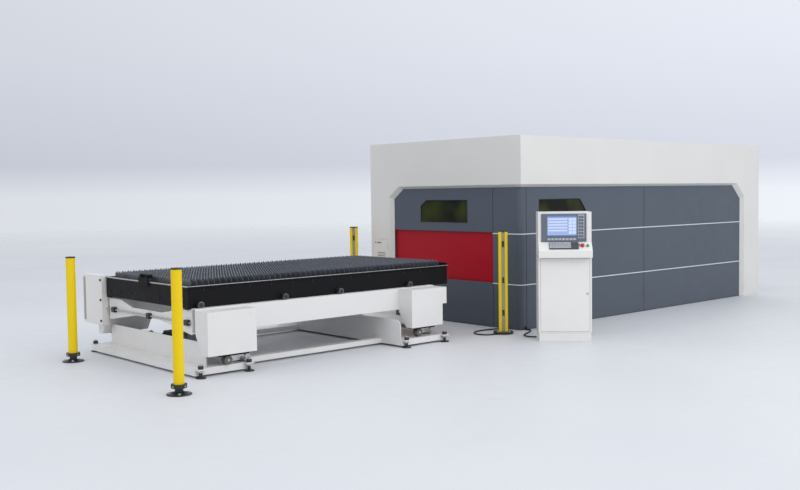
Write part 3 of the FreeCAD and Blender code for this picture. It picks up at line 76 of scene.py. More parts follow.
def add_camera():
    """A standing viewer off the outer corner of the table, looking along it to the cabin."""
    camera = bpy.data.cameras.new("camera")
    camera.lens = 43.2
    camera.sensor_width = 36
    camera.clip_end = 300
    seat = bpy.data.objects.new("camera", camera)
    scene.collection.objects.link(seat)
    seat.location = DATUM + Vector((-8.171, -7.037, 1.565))
    seat.rotation_euler = turned(47.93, 3.074, -0.748)
    scene.camera = seat


def add_lamp(name, place, target, size, power, colour):
    data = bpy.data.lights.new(name, "AREA")
    data.shape = "RECTANGLE"
    data.size, data.size_y = size
    data.energy = power
    data.color = colour
    lamp = bpy.data.objects.new(name, data)
    scene.collection.objects.link(lamp)
    lamp.location = place
    lamp.rotation_euler = (Vector(target) - Vector(place)).to_track_quat("-Z", "Y").to_euler()


def add_light():
    """A pale studio: soft light from the console's side, a weaker one from the table's end."""
    add_lamp("key", (-1.5, -13, 7.5), (1.0, 0, 0.8), (12, 6), 520, (1.0, 0.99, 0.97))
    add_lamp("end_fill", (-13, 1, 6), (-1.5, 0, 0.6), (8, 5), 110, (0.97, 0.98, 1.0))
    add_lamp("top", (0, 0, 11), (0, 0, 0), (12, 8), 120, (1.0, 1.0, 1.0))
    world = bpy.data.worlds.new("studio")
    scene.world = world
    world.use_nodes = True
    nodes, links = world.node_tree.nodes, world.node_tree.links
    direction = nodes.new("ShaderNodeTexCoord").outputs["Generated"]
    height = nodes.new("ShaderNodeSeparateXYZ")
    links.new(direction, height.inputs[0])
    ramp = nodes.new("ShaderNodeValToRGB")
    links.new(height.outputs["Z"], ramp.inputs["Fac"])
    tones = ((0.0, (0.72, 0.75, 0.80)), (0.03, (0.57, 0.60, 0.68)), (0.14, (0.66, 0.69, 0.76)),
             (0.5, (0.84, 0.86, 0.90)))
    while len(ramp.color_ramp.elements) < len(tones):
        ramp.color_ramp.elements.new(0.5)
    for element, (at, tone) in zip(ramp.color_ramp.elements, tones):
        element.position = at
        element.color = (*tone, 1)
    across = nodes.new("ShaderNodeVectorMath")
    across.operation = "DOT_PRODUCT"
    links.new(direction, across.inputs[0])
    across.inputs[1].default_value = (0.742, -0.670, 0)
    side = nodes.new("ShaderNodeMapRange")
    links.new(across.outputs["Value"], side.inputs[0])
    for index, number in enumerate((-0.4, 0.4, 0.98, 1.2), start=1):
        side.inputs[index].default_value = number
    links.new(ramp.outputs["Color"], nodes["Background"].inputs["Color"])
    links.new(side.outputs[0], nodes["Background"].inputs["Strength"])


# ---- materials ----

class Surface:
    """A Principled material whose colour, roughness and bump come from procedural nodes."""

    def __init__(self, name, colour, roughness, metallic=0.0):
        self.material = bpy.data.materials.new(name)
        self.material.use_nodes = True
        self.nodes = self.material.node_tree.nodes
        self.links = self.material.node_tree.links
        self.shader = self.nodes["Principled BSDF"]
        self.shader.inputs["Metallic"].default_value = metallic
        self.place = self.nodes.new("ShaderNodeTexCoord").outputs["Object"]
        self.normal = None
        self.colour = self.add("ShaderNodeRGB")
        self.colour.default_value = (*colour, 1)
        self.base_roughness = roughness

    def add(self, kind, **settings):
        node = self.nodes.new(kind)
        for name, setting in settings.items():
            setattr(node, name, setting)
        return node.outputs[0]

    def plug(self, output, **inputs):
        """Fill a node's inputs, by their order, with sockets or numbers."""
        for index, given in inputs.items():
            target = output.node.inputs[int(index[1:])]
            if isinstance(given, bpy.types.NodeSocket):
                self.links.new(given, target)
            else:
                target.default_value = given
        return output

    def maths(self, operation, a, b=0.0):
        return self.plug(self.add("ShaderNodeMath", operation=operation), _0=a, _1=b)

    def noise(self, scale, detail=3.0):
        output = self.add("ShaderNodeTexNoise")
        node = output.node
        self.links.new(self.place, node.inputs["Vector"])
        node.inputs["Scale"].default_value = scale
        node.inputs["Detail"].default_value = detail
        return output

    def between(self, amount, low, high, bottom=0.0, top=1.0):
        """Map low..high of an amount to bottom..top, and clamp it."""
        output = self.add("ShaderNodeMapRange")
        return self.plug(output, _0=amount, _1=low, _2=high, _3=bottom, _4=top)

    def tint(self, amount, colour):
        """Mix a colour over what is there, by an amount."""
        node = self.nodes.new("ShaderNodeMix")
        node.data_type = "RGBA"
        self.links.new(amount, node.inputs[0])
        self.links.new(self.colour, node.inputs[6])
        node.inputs[7].default_value = (*colour, 1)
        self.colour = node.outputs[2]

    def edges(self, radius):
        """How near a sharp edge is, from a rounded normal, which also softens the edge."""
        rounded = self.add("ShaderNodeBevel", samples=4)
        rounded.node.inputs["Radius"].default_value = radius
        self.normal = rounded
        flat = self.nodes.new("ShaderNodeNewGeometry").outputs["Normal"]
        likeness = self.nodes.new("ShaderNodeVectorMath")
        likeness.operation = "DOT_PRODUCT"
        self.links.new(rounded, likeness.inputs[0])
        self.links.new(flat, likeness.inputs[1])
        return self.between(likeness.outputs["Value"], 0.99, 0.80)

    def bump(self, height, distance, strength=0.5):
        node = self.nodes.new("ShaderNodeBump")
        node.inputs["Strength"].default_value = strength
        node.inputs["Distance"].default_value = distance
        self.links.new(height, node.inputs["Height"])
        if self.normal:
            self.links.new(self.normal, node.inputs["Normal"])
        self.normal = node.outputs["Normal"]

    def done(self, roughness_spread=0.06, spread_scale=6.0):
        self.links.new(self.colour, self.shader.inputs["Base Color"])
        spread = self.between(self.noise(spread_scale), 0.3, 0.7,
                              self.base_roughness - roughness_spread,
                              self.base_roughness + roughness_spread)
        self.links.new(spread, self.shader.inputs["Roughness"])
        if self.normal:
            self.links.new(self.normal, self.shader.inputs["Normal"])
        return self.material


def shade(colour, factor):
    return tuple(min(1.0, part * factor) for part in colour)


def paint(name, colour, roughness=0.38, edge=1.12, peel=0.6, foot=0.93, radius=0.004,
          shine=0.5):
    """Powder coat: faint clouds, orange peel, edges lightened partly as wear and partly as a
    painted highlight, and patchy darkening towards the foot.
    """
    look = Surface(name, colour, roughness)
    look.shader.inputs["Specular IOR Level"].default_value = shine
    clouds = look.between(look.noise(1.3, 2.0), 0.35, 0.7)
    look.tint(clouds, shade(colour, 0.965))
    height = look.nodes.new("ShaderNodeSeparateXYZ")
    look.links.new(look.place, height.inputs[0])
    # Darker towards the foot, below 0.45 m, in patches.
    low_darkening = look.between(height.outputs["Z"], 0.45, 0.0)
    patches = look.maths("MULTIPLY", low_darkening, look.between(look.noise(9.0), 0.3, 0.75))
    look.tint(patches, shade(colour, foot))
    # Edges lightened by the edge factor: partly wear, partly a painted highlight where they
    # catch the light.
    worn_and_lit_edges = look.edges(radius)
    patchy_worn_and_lit_edges = look.maths("MULTIPLY", worn_and_lit_edges, look.between(look.noise(35.0), 0.35, 0.6, 0.3, 1.0))
    look.tint(patchy_worn_and_lit_edges, shade(colour, edge))
    look.bump(look.noise(420.0, 1.0), 0.0004, peel * 0.4)
    return look.done(0.05)


def metal(name, colour, roughness):
    """Bare metal with a fine grain, darker stains and edges brightened as a painted highlight.
    """
    look = Surface(name, colour, roughness, 1.0)
    grain = look.noise(240.0, 4.0)
    look.tint(look.between(grain, 0.35, 0.7), shade(colour, 0.86))
    look.tint(look.between(look.noise(5.0), 0.5, 0.75), shade(colour, 0.7))
    # Painted highlight: edges brightened where they would catch the light.
    look.tint(look.edges(0.0015), shade(colour, 1.35))
    look.bump(grain, 0.0003, 0.35)
    return look.done(0.09, 18.0)


def plastic(name, colour, roughness, grit=600.0, depth=0.0002):
    """Moulded plastic with a fine grit and edges lightened as a painted highlight."""
    look = Surface(name, colour, roughness)
    look.tint(look.between(look.noise(14.0), 0.35, 0.7), shade(colour, 0.9))
    # Painted highlight: edges lightened where they would catch the light.
    look.tint(look.edges(0.0015), shade(colour, 1.2))
    look.bump(look.noise(grit, 1.0), depth, 0.4)
    return look.done(0.05, 20.0)


def slat_metal():
    """Slats burnt blue-black by the beam, with bare teeth lightened at their tops, partly as a
    painted highlight, and slag near them.
    """
    look = Surface("slat_steel", (0.13, 0.142, 0.168), 0.5, 0.55)
    look.tint(look.between(look.noise(7.0, 5.0), 0.4, 0.68), (0.085, 0.09, 0.105))
    look.tint(look.between(look.noise(28.0, 4.0), 0.60, 0.72), (0.17, 0.15, 0.135))
    height = look.nodes.new("ShaderNodeSeparateXYZ")
    look.links.new(look.place, height.inputs[0])
    # Tops of the teeth lightened: bare worn steel, and partly a painted highlight where the tops
    # catch the light.
    tips = look.between(height.outputs["Z"], 0.812, 0.832)
    lit_bare_tips = look.maths("MULTIPLY", tips, look.between(look.noise(40.0), 0.3, 0.6, 0.35, 0.9))
    look.tint(lit_bare_tips, (0.30, 0.32, 0.36))
    look.bump(look.noise(160.0, 5.0), 0.002, 0.6)
    return look.done(0.12, 30.0)


def laser_glass():
    """Nearly black green laser-safe acrylic with faint lime patches."""
    look = Surface("laser_glass", (0.004, 0.006, 0.002), 0.08)
    patches = look.noise(1.6, 2.0)
    look.tint(look.between(patches, 0.50, 0.70, 0.0, 0.7), (0.055, 0.072, 0.008))
    look.bump(look.noise(2.5, 1.0), 0.004, 0.15)
    look.shader.inputs["Specular IOR Level"].default_value = 0.12
    return look.done(0.02)


def screen_look(name, colour, glow):
    """A lit part of the console's screen."""
    look = Surface(name, colour, 0.22)
    look.tint(look.between(look.noise(60.0), 0.4, 0.7), shade(colour, 0.93))
    look.links.new(look.colour, look.shader.inputs["Emission Color"])
    look.shader.inputs["Emission Strength"].default_value = glow
    return look.done(0.03)


def floor_look():
    """Pale floor that fades into the backdrop far away."""
    look = Surface("floor", (0.66, 0.675, 0.70), 0.55)
    look.tint(look.between(look.noise(0.35, 2.0), 0.35, 0.65), (0.63, 0.645, 0.675))
    look.bump(look.noise(3.0), 0.0005, 0.2)
    material = look.done(0.08)
    distance = look.nodes.new("ShaderNodeVectorMath")
    distance.operation = "LENGTH"
    look.links.new(look.place, distance.inputs[0])
    fade = look.between(distance.outputs["Value"], 14.0, 42.0)
    clear = look.nodes.new("ShaderNodeBsdfTransparent").outputs[0]
    mixed = look.nodes.new("ShaderNodeMixShader")
    look.links.new(fade, mixed.inputs[0])
    look.links.new(look.shader.outputs[0], mixed.inputs[1])
    look.links.new(clear, mixed.inputs[2])
    look.links.new(mixed.outputs[0], look.nodes["Material Output"].inputs["Surface"])
    return material


def add_floor():
    bm = bmesh.new()
    bmesh.ops.create_circle(bm, cap_ends=True, segments=96, radius=44)
    mesh = bpy.data.meshes.new("floor")
    bm.to_mesh(mesh)
    bm.free()
    floor = bpy.data.objects.new("floor", mesh)
    scene.collection.objects.link(floor)
    mesh.materials.append(floor_look())


LOOKS = {
    "white_paint": paint("white_paint", (0.72, 0.708, 0.675), 0.36),
    "grey_paint": paint("grey_paint", (0.088, 0.106, 0.135), 0.46, edge=1.35, shine=0.28),
    "trim_paint": paint("trim_paint", (0.66, 0.68, 0.70), 0.35),
    "laser_glass": laser_glass(),
    "dark_paint": paint("dark_paint", (0.07, 0.075, 0.085), 0.5, edge=1.5),
    "red_paint": paint("red_paint", (0.40, 0.006, 0.018), 0.42, edge=1.3, shine=0.16),
    "bright_steel": metal("bright_steel", (0.55, 0.55, 0.56), 0.28),
    "head_metal": metal("head_metal", (0.66, 0.67, 0.69), 0.3),
    # edge=4.5 paints strong highlights on the black pallet's edges, where the lip catches the
    # light.
    "pallet_paint": paint("pallet_paint", (0.009, 0.009, 0.0105), 0.5, edge=4.5, foot=1.2,
                          shine=0.1),
    "slat_steel": slat_metal(),
    "table_paint": paint("table_paint", (0.76, 0.75, 0.735), 0.36),
    "nylon": plastic("nylon", (0.12, 0.11, 0.09), 0.5),
    "cast_black": paint("cast_black", (0.018, 0.018, 0.02), 0.42, edge=2.4, peel=1.5),
    "motor_paint": paint("motor_paint", (0.20, 0.22, 0.25), 0.4, peel=1.5),
    "wheel_steel": metal("wheel_steel", (0.20, 0.20, 0.21), 0.4),
    "yellow_paint": paint("yellow_paint", (0.84, 0.60, 0.002), 0.38, edge=1.15, shine=0.25),
    "optic": plastic("optic", (0.32, 0.31, 0.24), 0.3),
    "console_paint": paint("console_paint", (0.80, 0.785, 0.76), 0.34),
    "bezel_plastic": plastic("bezel_plastic", (0.13, 0.15, 0.19), 0.45),
    "screen_glass": plastic("screen_glass", (0.02, 0.025, 0.035), 0.12, 40.0, 0.0001),
    "key_plastic": plastic("key_plastic", (0.06, 0.065, 0.075), 0.5),
    "red_plastic": plastic("red_plastic", (0.50, 0.012, 0.012), 0.25),
    "green_plastic": plastic("green_plastic", (0.02, 0.28, 0.06), 0.25),
    "cable_sheath": plastic("cable_sheath", (0.014, 0.014, 0.015), 0.5, 900.0, 0.0003),
}
RUBBER = plastic("rubber", (0.012, 0.012, 0.013), 0.6)
ZINC = metal("zinc", (0.58, 0.58, 0.56), 0.35)
BRASS = metal("brass", (0.62, 0.42, 0.16), 0.3)
LIGHT_KEYS = plastic("light_keys", (0.46, 0.48, 0.50), 0.45)
SCREEN_BLUE = screen_look("screen_blue", (0.27, 0.35, 0.58), 0.42)
SCREEN_DEEP = screen_look("screen_deep", (0.10, 0.16, 0.36), 0.5)
SCREEN_PALE = screen_look("screen_pale", (0.50, 0.57, 0.74), 0.36)


def dress_nodes():
    """Every CAD node gets its slot's material."""
    slots = {part["node"]: part["material_slot"] for part in frame["record"]["subparts"]}
    for name, piece in frame["nodes"].items():
        piece.data.materials.clear()
        piece.data.materials.append(LOOKS[slots[name]])


# ---- shapes ----

def piece(name, build, body, slot, look=None, smooth=False):
    """A mesh piece that rides on a body. build fills its bmesh, in the row frame."""
    bm = bmesh.new()
    build(bm)
    bmesh.ops.recalc_face_normals(bm, faces=bm.faces)
    mesh = bpy.data.meshes.new(name)
    bm.to_mesh(mesh)
    bm.free()
    made = bpy.data.objects.new(name, mesh)
    scene.collection.objects.link(made)
    mesh.materials.append(look or LOOKS[slot])
    for polygon in mesh.polygons:
        polygon.use_smooth = smooth
    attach(made, body)


def facing(place, direction):
    """The matrix that moves the origin to a place and turns +Z to a direction."""
    turn = Vector(direction).to_track_quat("Z", "Y").to_matrix().to_4x4()
    return Matrix.Translation(place) @ turn


def block(bm, low, high, round_by=0.002, matrix=Matrix.Identity(4), segments=2):
    """A box with rounded edges between two corners, made apart so its order never varies."""
    low, high = Vector(low), Vector(high)
    middle = Matrix.Translation((low + high) / 2)
    shape = matrix @ middle @ Matrix.Diagonal((*(high - low), 1))
    box = bmesh.new()
    bmesh.ops.create_cube(box, size=1, matrix=shape)
    bmesh.ops.bevel(box, geom=box.edges[:], offset=round_by, segments=segments, profile=0.5,
                    affect="EDGES")
    box.verts.index_update()
    placed = [bm.verts.new(vertex.co) for vertex in box.verts]
    for face in box.faces:
        bm.faces.new([placed[vertex.index] for vertex in face.verts])
    box.free()


def turn_profile(bm, profile, matrix, steps=32):
    """Revolve radius and height pairs about the matrix's Z."""
    rings = []
    for radius, height in profile:
        if radius < 1e-6:
            rings.append([bm.verts.new(matrix @ Vector((0, 0, height)))])
            continue
        rings.append([bm.verts.new(matrix @ Vector((radius * math.cos(2 * math.pi * i / steps),
                                                    radius * math.sin(2 * math.pi * i / steps),
                                                    height))) for i in range(steps)])
    for lower, upper in zip(rings, rings[1:]):
        for i in range(steps):
            j = (i + 1) % steps
            corners = [lower[i % len(lower)], lower[j % len(lower)],
                       upper[j % len(upper)], upper[i % len(upper)]]
            corners = list(dict.fromkeys(corners))
            if len(corners) > 2:
                bm.faces.new(corners)


def disc(bm, place, direction, radius, height, round_by=0.001, steps=28):
    """A short cylinder with a rounded rim, standing on a place."""
    profile = [(0, 0), (radius, 0), (radius, height - round_by),
               (radius - round_by, height), (0, height)]
    turn_profile(bm, profile, facing(place, direction), steps)


def bolt(bm, place, direction, size=0.008):
    """A hexagon bolt head on a washer. Size is its thread's radius."""
    disc(bm, place, direction, size * 2.1, size * 0.35, size * 0.1, 20)
    head = [(0, 0.3 * size), (1.7 * size, 0.3 * size), (1.7 * size, 1.35 * size),
            (1.45 * size, 1.6 * size), (0, 1.6 * size)]
    turn_profile(bm, head, facing(place, direction), 6)


def cap_screw(bm, place, direction, size=0.006):
    """A socket-head screw with its hollow socket."""
    profile = [(1.7 * size, 0), (1.7 * size, 1.3 * size), (1.5 * size, 1.5 * size),
               (0.9 * size, 1.5 * size), (0.9 * size, 0.6 * size), (0, 0.6 * size)]
    turn_profile(bm, profile, facing(place, direction), 16)


def tube(name, points, radius, body, slot, look=None, closed=False, smooth_bends=False):
    """A round bead or pipe along points."""
    curve = bpy.data.curves.new(name, "CURVE")
    curve.dimensions = "3D"
    curve.bevel_depth = radius
    curve.bevel_resolution = 3
    curve.use_fill_caps = True
    spline = curve.splines.new("NURBS" if smooth_bends else "POLY")
    spline.points.add(len(points) - 1)
    for point, place in zip(spline.points, points):
        point.co = (*place, 1)
    spline.use_cyclic_u = closed
    if smooth_bends:
        spline.order_u = 3
        spline.use_endpoint_u = True
        spline.resolution_u = 12
    made = bpy.data.objects.new(name, curve)
    scene.collection.objects.link(made)
    curve.materials.append(look or LOOKS[slot])
    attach(made, body)
    return made


def on_cabin(x, y, z):
    return DATUM + Vector((x, y, z))


# ---- cables ----

CABLE_REST = 0.0085
CURTAIN_CABLE = [(-0.372, 0.050), (-0.432, 0.050), (-0.488, 0.082), (-0.522, 0.154),
                 (-0.506, 0.243), (-0.438, 0.317), (-0.325, 0.358), (-0.205, 0.348),
                 (-0.093, 0.314), (-0.011, 0.306), (0.061, 0.306)]
CONSOLE_CABLE = [(0.130, 0.061), (0.130, 0.0), (0.093, -0.062), (-0.022, -0.127),
                 (-0.141, -0.176), (-0.233, -0.233), (-0.271, -0.298), (-0.267, -0.362),
                 (-0.2261, -0.4059)]


def add_cables():
    """Two cables on the floor, each from one gland to another."""
    for name, route, length in (("curtain_cable", CURTAIN_CABLE, 0.895),
                                ("console_cable", CONSOLE_CABLE, 0.693)):
        points = [on_cabin(x, y, CABLE_REST) for x, y in route]
        cable = tube(name + "_run", points, 0.008, "machine", "cable_sheath", smooth_bends=True)
        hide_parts(name)


# ---- details of the cabin ----

WINDOW_LAP = 0.020       # the panes reach this far past the openings, behind the panels
BEAD_FRONT, BEAD_BACK = 0.0485, 0.052


def add_gaskets():
    """A rubber bead round each window, and one in each joint between the grey panels."""
    low, high = corners("viewing_windows")
    bottom, top = low.z + WINDOW_LAP, high.z - WINDOW_LAP
    far_x, far_y = high.x - WINDOW_LAP, high.y - WINDOW_LAP
    face, start = on_cabin(0.049, 0.049, 0), on_cabin(0.375, 0.877, 0)
    end = [(face.x, start.y, bottom), (face.x, far_y, bottom), (face.x, far_y, top - 0.071),
           (face.x, far_y - 0.102, top), (face.x, start.y, top)]
    side = [(start.x, face.y, bottom), (far_x, face.y, bottom), (far_x, face.y, top - 0.158),
            (far_x - 0.133, face.y, top), (start.x, face.y, top)]
    for name, outline in (("end_window_gasket", end), ("side_window_gasket", side)):
        tube(name, outline, 0.004, "machine", "laser_glass", RUBBER, closed=True)

    def beads(bm):
        half, foot, head = 0.003, 0.012, 1.625
        for bottom, top in ((foot, 0.516), (1.104, head)):
            block(bm, on_cabin(BEAD_FRONT, 0.4655 - half, bottom),
                  on_cabin(BEAD_BACK, 0.4655 + half, top), 0.0006)
        for x in (0.1505, 2.4735):
            block(bm, on_cabin(x - half, BEAD_FRONT, foot),
                  on_cabin(x + half, BEAD_BACK, head), 0.0006)
    piece("panel_joint_beads", beads, "machine", "grey_paint", RUBBER)


def add_cabin_screws():
    """Screws along the roof tray's rim, and quarter-turn catches on the rear panels."""
    low, high = corners("roof_panel")
    rear = corners("rear_panels")[1].y

    def roof(bm):
        for i in range(12):
            for y in (low.y + 0.020, high.y - 0.020):
                cap_screw(bm, Vector((low.x + 0.150 + i * 0.452, y, low.z + 0.003)), Z, 0.005)

    def catches(bm):
        for x in (0.62, 2.60, 2.78, 4.78):
            for z in (0.30, 0.85, 1.40):
                spot = on_cabin(x, 0, z)
                spot.y = rear
                disc(bm, spot, Y, 0.014, 0.004)
                block(bm, spot + Vector((-0.010, 0.0035, -0.002)),
                      spot + Vector((0.010, 0.006, 0.002)), 0.0005)
    piece("roof_screws", roof, "machine", "white_paint", ZINC)
    piece("rear_catches", catches, "machine", "grey_paint", ZINC)


def add_door_seal():
    """Rubber lip along the loading door's lower edge, and its two lifting lugs."""
    low, high = corners("loading_door")

    def lip(bm):
        block(bm, (low.x + 0.004, low.y + 0.012, low.z - 0.006),
              (high.x - 0.004, high.y - 0.012, low.z + 0.002), 0.0015)

    def lugs(bm):
        for y in (low.y + 0.25, high.y - 0.25):
            block(bm, (low.x + 0.010, y - 0.03, high.z - 0.002),
                  (high.x - 0.006, y + 0.03, high.z + 0.022), 0.003)
            cap_screw(bm, (high.x - 0.006, y, high.z + 0.011), X, 0.004)
    piece("door_lip", lip, "door", "red_paint", RUBBER)
    piece("door_lugs", lugs, "door", "red_paint", ZINC)


def add_hatch_louvres():
    """Vent louvres pressed into the service hatch, and a pull bar beside its lock."""
    def louvres(bm):
        for i in range(6):
            z = 0.800 - i * 0.022
            block(bm, on_cabin(-0.0022, 2.300, z), on_cabin(0.0008, 2.450, z + 0.006), 0.0012)

    def pull(bm):
        block(bm, on_cabin(-0.0090, 2.380, 0.928), on_cabin(0.0008, 2.455, 0.936), 0.0015)
    piece("hatch_louvres", louvres, "hatch", "white_paint", RUBBER)
    piece("hatch_pull", pull, "hatch", "white_paint", LOOKS["cast_black"])


def add_nozzle():
    """Brass nozzle on the cutting head's tip."""
    low, high = corners("cutting_head")
    tip = Vector(((low.x + high.x) / 2, (low.y + high.y) / 2, low.z))

    def build(bm):
        profile = [(0.0028, 0.0002), (0.0062, 0.0010), (0.0135, 0.0180), (0.0150, 0.0190),
                   (0.0150, 0.0225)]
        turn_profile(bm, profile, Matrix.Translation(tip), 28)
    piece("nozzle_tip", build, "head", "head_metal", BRASS, smooth=True)


# ---- details of the posts ----

MIRROR_POSTS = [(-4.390, 1.840), (-4.440, -0.275)]
CURTAIN_POSTS = [(-0.244, 0.053), (-0.250, 2.630)]
LENS_HEIGHTS = [0.200, 0.560, 0.960]


def around(count, start=0.0):
    """Directions evenly spread about +Z."""
    return [Vector((math.cos(start + 2 * math.pi * i / count),
                    math.sin(start + 2 * math.pi * i / count), 0)) for i in range(count)]


def add_mirror_post_details():
    """Dark caps, screws round the collars and bolts in the feet."""
    def caps(bm):
        cap = [(0.0432, -0.008), (0.0455, -0.007), (0.0455, 0.002), (0.0425, 0.005), (0, 0.0055)]
        for x, y in MIRROR_POSTS:
            turn_profile(bm, cap, Matrix.Translation(on_cabin(x, y, 1.0)), 40)

    def screws(bm):
        for x, y in MIRROR_POSTS:
            for way in around(4, 0.3):
                cap_screw(bm, on_cabin(x, y, 0.070) + way * 0.0635, way, 0.004)
            for way in around(4, 1.1):
                bolt(bm, on_cabin(x, y, 0.0145) + way * 0.074, Z + way * 0.27, 0.006)
    piece("mirror_post_caps", caps, "machine", "yellow_paint", LOOKS["cast_black"], smooth=True)
    piece("mirror_post_screws", screws, "machine", "cast_black", ZINC)


def add_curtain_details():
    """Dark lens windows, covers at both ends, anchor bolts and screws on the light curtains."""
    def place_of(x, y):
        return Matrix.Translation(on_cabin(x, y, 0)) @ Matrix.Rotation(math.radians(-45), 4, "Z")

    def lenses(bm):
        for x, y in CURTAIN_POSTS:
            for z in LENS_HEIGHTS:
                block(bm, (-0.0115, -0.0365, z + 0.003), (0.0115, -0.0345, z + 0.067), 0.0007,
                      place_of(x, y))

    def caps(bm):
        for x, y in CURTAIN_POSTS:
            block(bm, (-0.050, -0.041, 1.128), (0.050, 0.041, 1.140), 0.003, place_of(x, y))
            block(bm, (-0.017, -0.030, 0.030), (0.017, -0.026, 0.120), 0.001, place_of(x, y))

    def bolts(bm):
        for x, y in CURTAIN_POSTS:
            for way in around(4, 0.0):
                bolt(bm, on_cabin(x, y, 0.025) + way * 0.090, Z, 0.006)
            for z in (0.16, 0.50, 0.90):
                for side in (-0.0135, 0.0135):
                    spot = place_of(x, y) @ Vector((side, -0.0310, z))
                    cap_screw(bm, spot, place_of(x, y).to_3x3() @ -Y, 0.0016)
    piece("curtain_lenses", lenses, "machine", "optic", LOOKS["screen_glass"])
    piece("curtain_caps", caps, "machine", "yellow_paint", LOOKS["cast_black"])
    piece("curtain_bolts", bolts, "machine", "cast_black", ZINC)


# ---- details of the console ----

CONSOLE = (Matrix.Translation(DATUM + Vector((-0.425, -0.603, 0)))
           @ Matrix.Rotation(math.radians(-46.9), 4, "Z"))
DESK = (CONSOLE @ Matrix.Translation((0, 0.040, 1.040))
        @ Matrix.Rotation(math.atan2(0.090, 0.110), 4, "X"))


def panel_blocks(name, slot, look, rectangles, front, depth, round_by=0.0004):
    """Thin raised fields on the console's upright face: across and up, low and high."""
    def build(bm):
        for left, right, bottom, top in rectangles:
            block(bm, (left, front, bottom), (right, front + depth, top), round_by, CONSOLE)
    piece(name, build, "machine", slot, look)


def add_screen():
    """A lit screen of plain fields: two bars, five rows and a block of tiles."""
    left, right, bottom, top = 0.094, 0.396, 1.099, 1.315
    glass, layer = 0.0309, 0.0003
    panel_blocks("screen_ground", "screen_glass", SCREEN_BLUE, [(left, right, bottom, top)],
                 glass - layer, layer)
    panel_blocks("screen_header", "screen_glass", SCREEN_DEEP,
                 [(left, right, top - 0.020, top), (left, right, bottom, bottom + 0.012)],
                 glass - 2 * layer, layer)
    rows = [(left + 0.010, left + 0.205, top - 0.045 - i * 0.030, top - 0.031 - i * 0.030)
            for i in range(5)]
    tiles = [(right - 0.080 + j * 0.038, right - 0.046 + j * 0.038,
              top - 0.056 - i * 0.034, top - 0.028 - i * 0.034)
             for i in range(5) for j in range(2)]
    panel_blocks("screen_rows", "screen_glass", SCREEN_PALE, rows + tiles, glass - 2 * layer,
                 layer)


def add_console_keys():
    """Keys under and beside the screen, the keyboard's keys and the buttons' collars."""
    face = 0.030                                # the bezel's face
    soft = [(0.096 + i * 0.0375, 0.126 + i * 0.0375, 1.056, 1.078) for i in range(8)]
    panel_blocks("soft_keys", "key_plastic", LIGHT_KEYS, soft, face - 0.003, 0.004, 0.0012)
    panel_blocks("key_panel", "bezel_plastic", LIGHT_KEYS, [(0.410, 0.474, 1.076, 1.322)],
                 face - 0.002, 0.003, 0.001)
    column = [(0.416 + j * 0.0275, 0.439 + j * 0.0275, 1.084 + i * 0.0335, 1.110 + i * 0.0335)
              for i in range(7) for j in range(2)]
    panel_blocks("key_column", "key_plastic", LOOKS["bezel_plastic"], column, face - 0.005,
                 0.004, 0.0012)

    def keys(bm):
        for row in range(5):
            for i in range(14 if row else 7):
                left = 0.1135 + i * (0.0157 if row else 0.0314)
                size = 0.0135 if row else 0.029
                down = 0.112 - row * 0.0178
                block(bm, (left, -down, 0.0138), (left + size, 0.0152 - down, 0.0178), 0.0010,
                      DESK, 1)
    piece("keyboard_keys", keys, "machine", "key_plastic", LIGHT_KEYS)

    def collars(bm):
        for across, radius in ((0.368, 0.020), (0.410, 0.014)):
            ring = [(radius + 0.006, 0.0), (radius + 0.006, 0.0022), (radius + 0.003, 0.0032),
                    (0.0125, 0.0032)]
            turn_profile(bm, ring, DESK @ Matrix.Translation((across, -0.048, 0)), 36)
    piece("button_collars", collars, "machine", "bezel_plastic", LOOKS["cast_black"])


def add_cabinet_details():
    """Door gap and lock of the console's cabinet, and a dark strip at the joint under its head
    that paints the shadow line there.
    """
    front = 0.015                               # the cabinet's front

    def gap_and_shade_lines(bm):
        for low, high in (((0.020, 0.105), (0.022, 0.865)), ((0.528, 0.105), (0.530, 0.865)),
                          ((0.020, 0.865), (0.530, 0.867)), ((0.020, 0.103), (0.530, 0.105))):
            block(bm, (low[0], front - 0.0006, low[1]), (high[0], front + 0.001, high[1]),
                  0.0003, CONSOLE)
        # Painted shadow: a dark strip at the joint under the head, where the head's shelf casts
        # its shadow line.
        block(bm, (-0.0008, front - 0.0008, 0.8785), (0.5508, 0.4208, 0.8815), 0.0005, CONSOLE)

    def lock(bm):
        spot = CONSOLE @ Vector((0.505, front, 0.50))
        disc(bm, spot, CONSOLE.to_3x3() @ -Y, 0.012, 0.004, 0.0012)
        block(bm, (0.5040, front - 0.0046, 0.494), (0.5060, front - 0.0036, 0.506), 0.0002,
              CONSOLE)
    piece("console_gap_and_shade_lines", gap_and_shade_lines, "machine", "console_paint", RUBBER)
    piece("console_lock", lock, "machine", "console_paint", ZINC)


# ---- details of the table ----

LIP = 0.015              # the pallet's lip, and its latch, stand this far proud of its sides


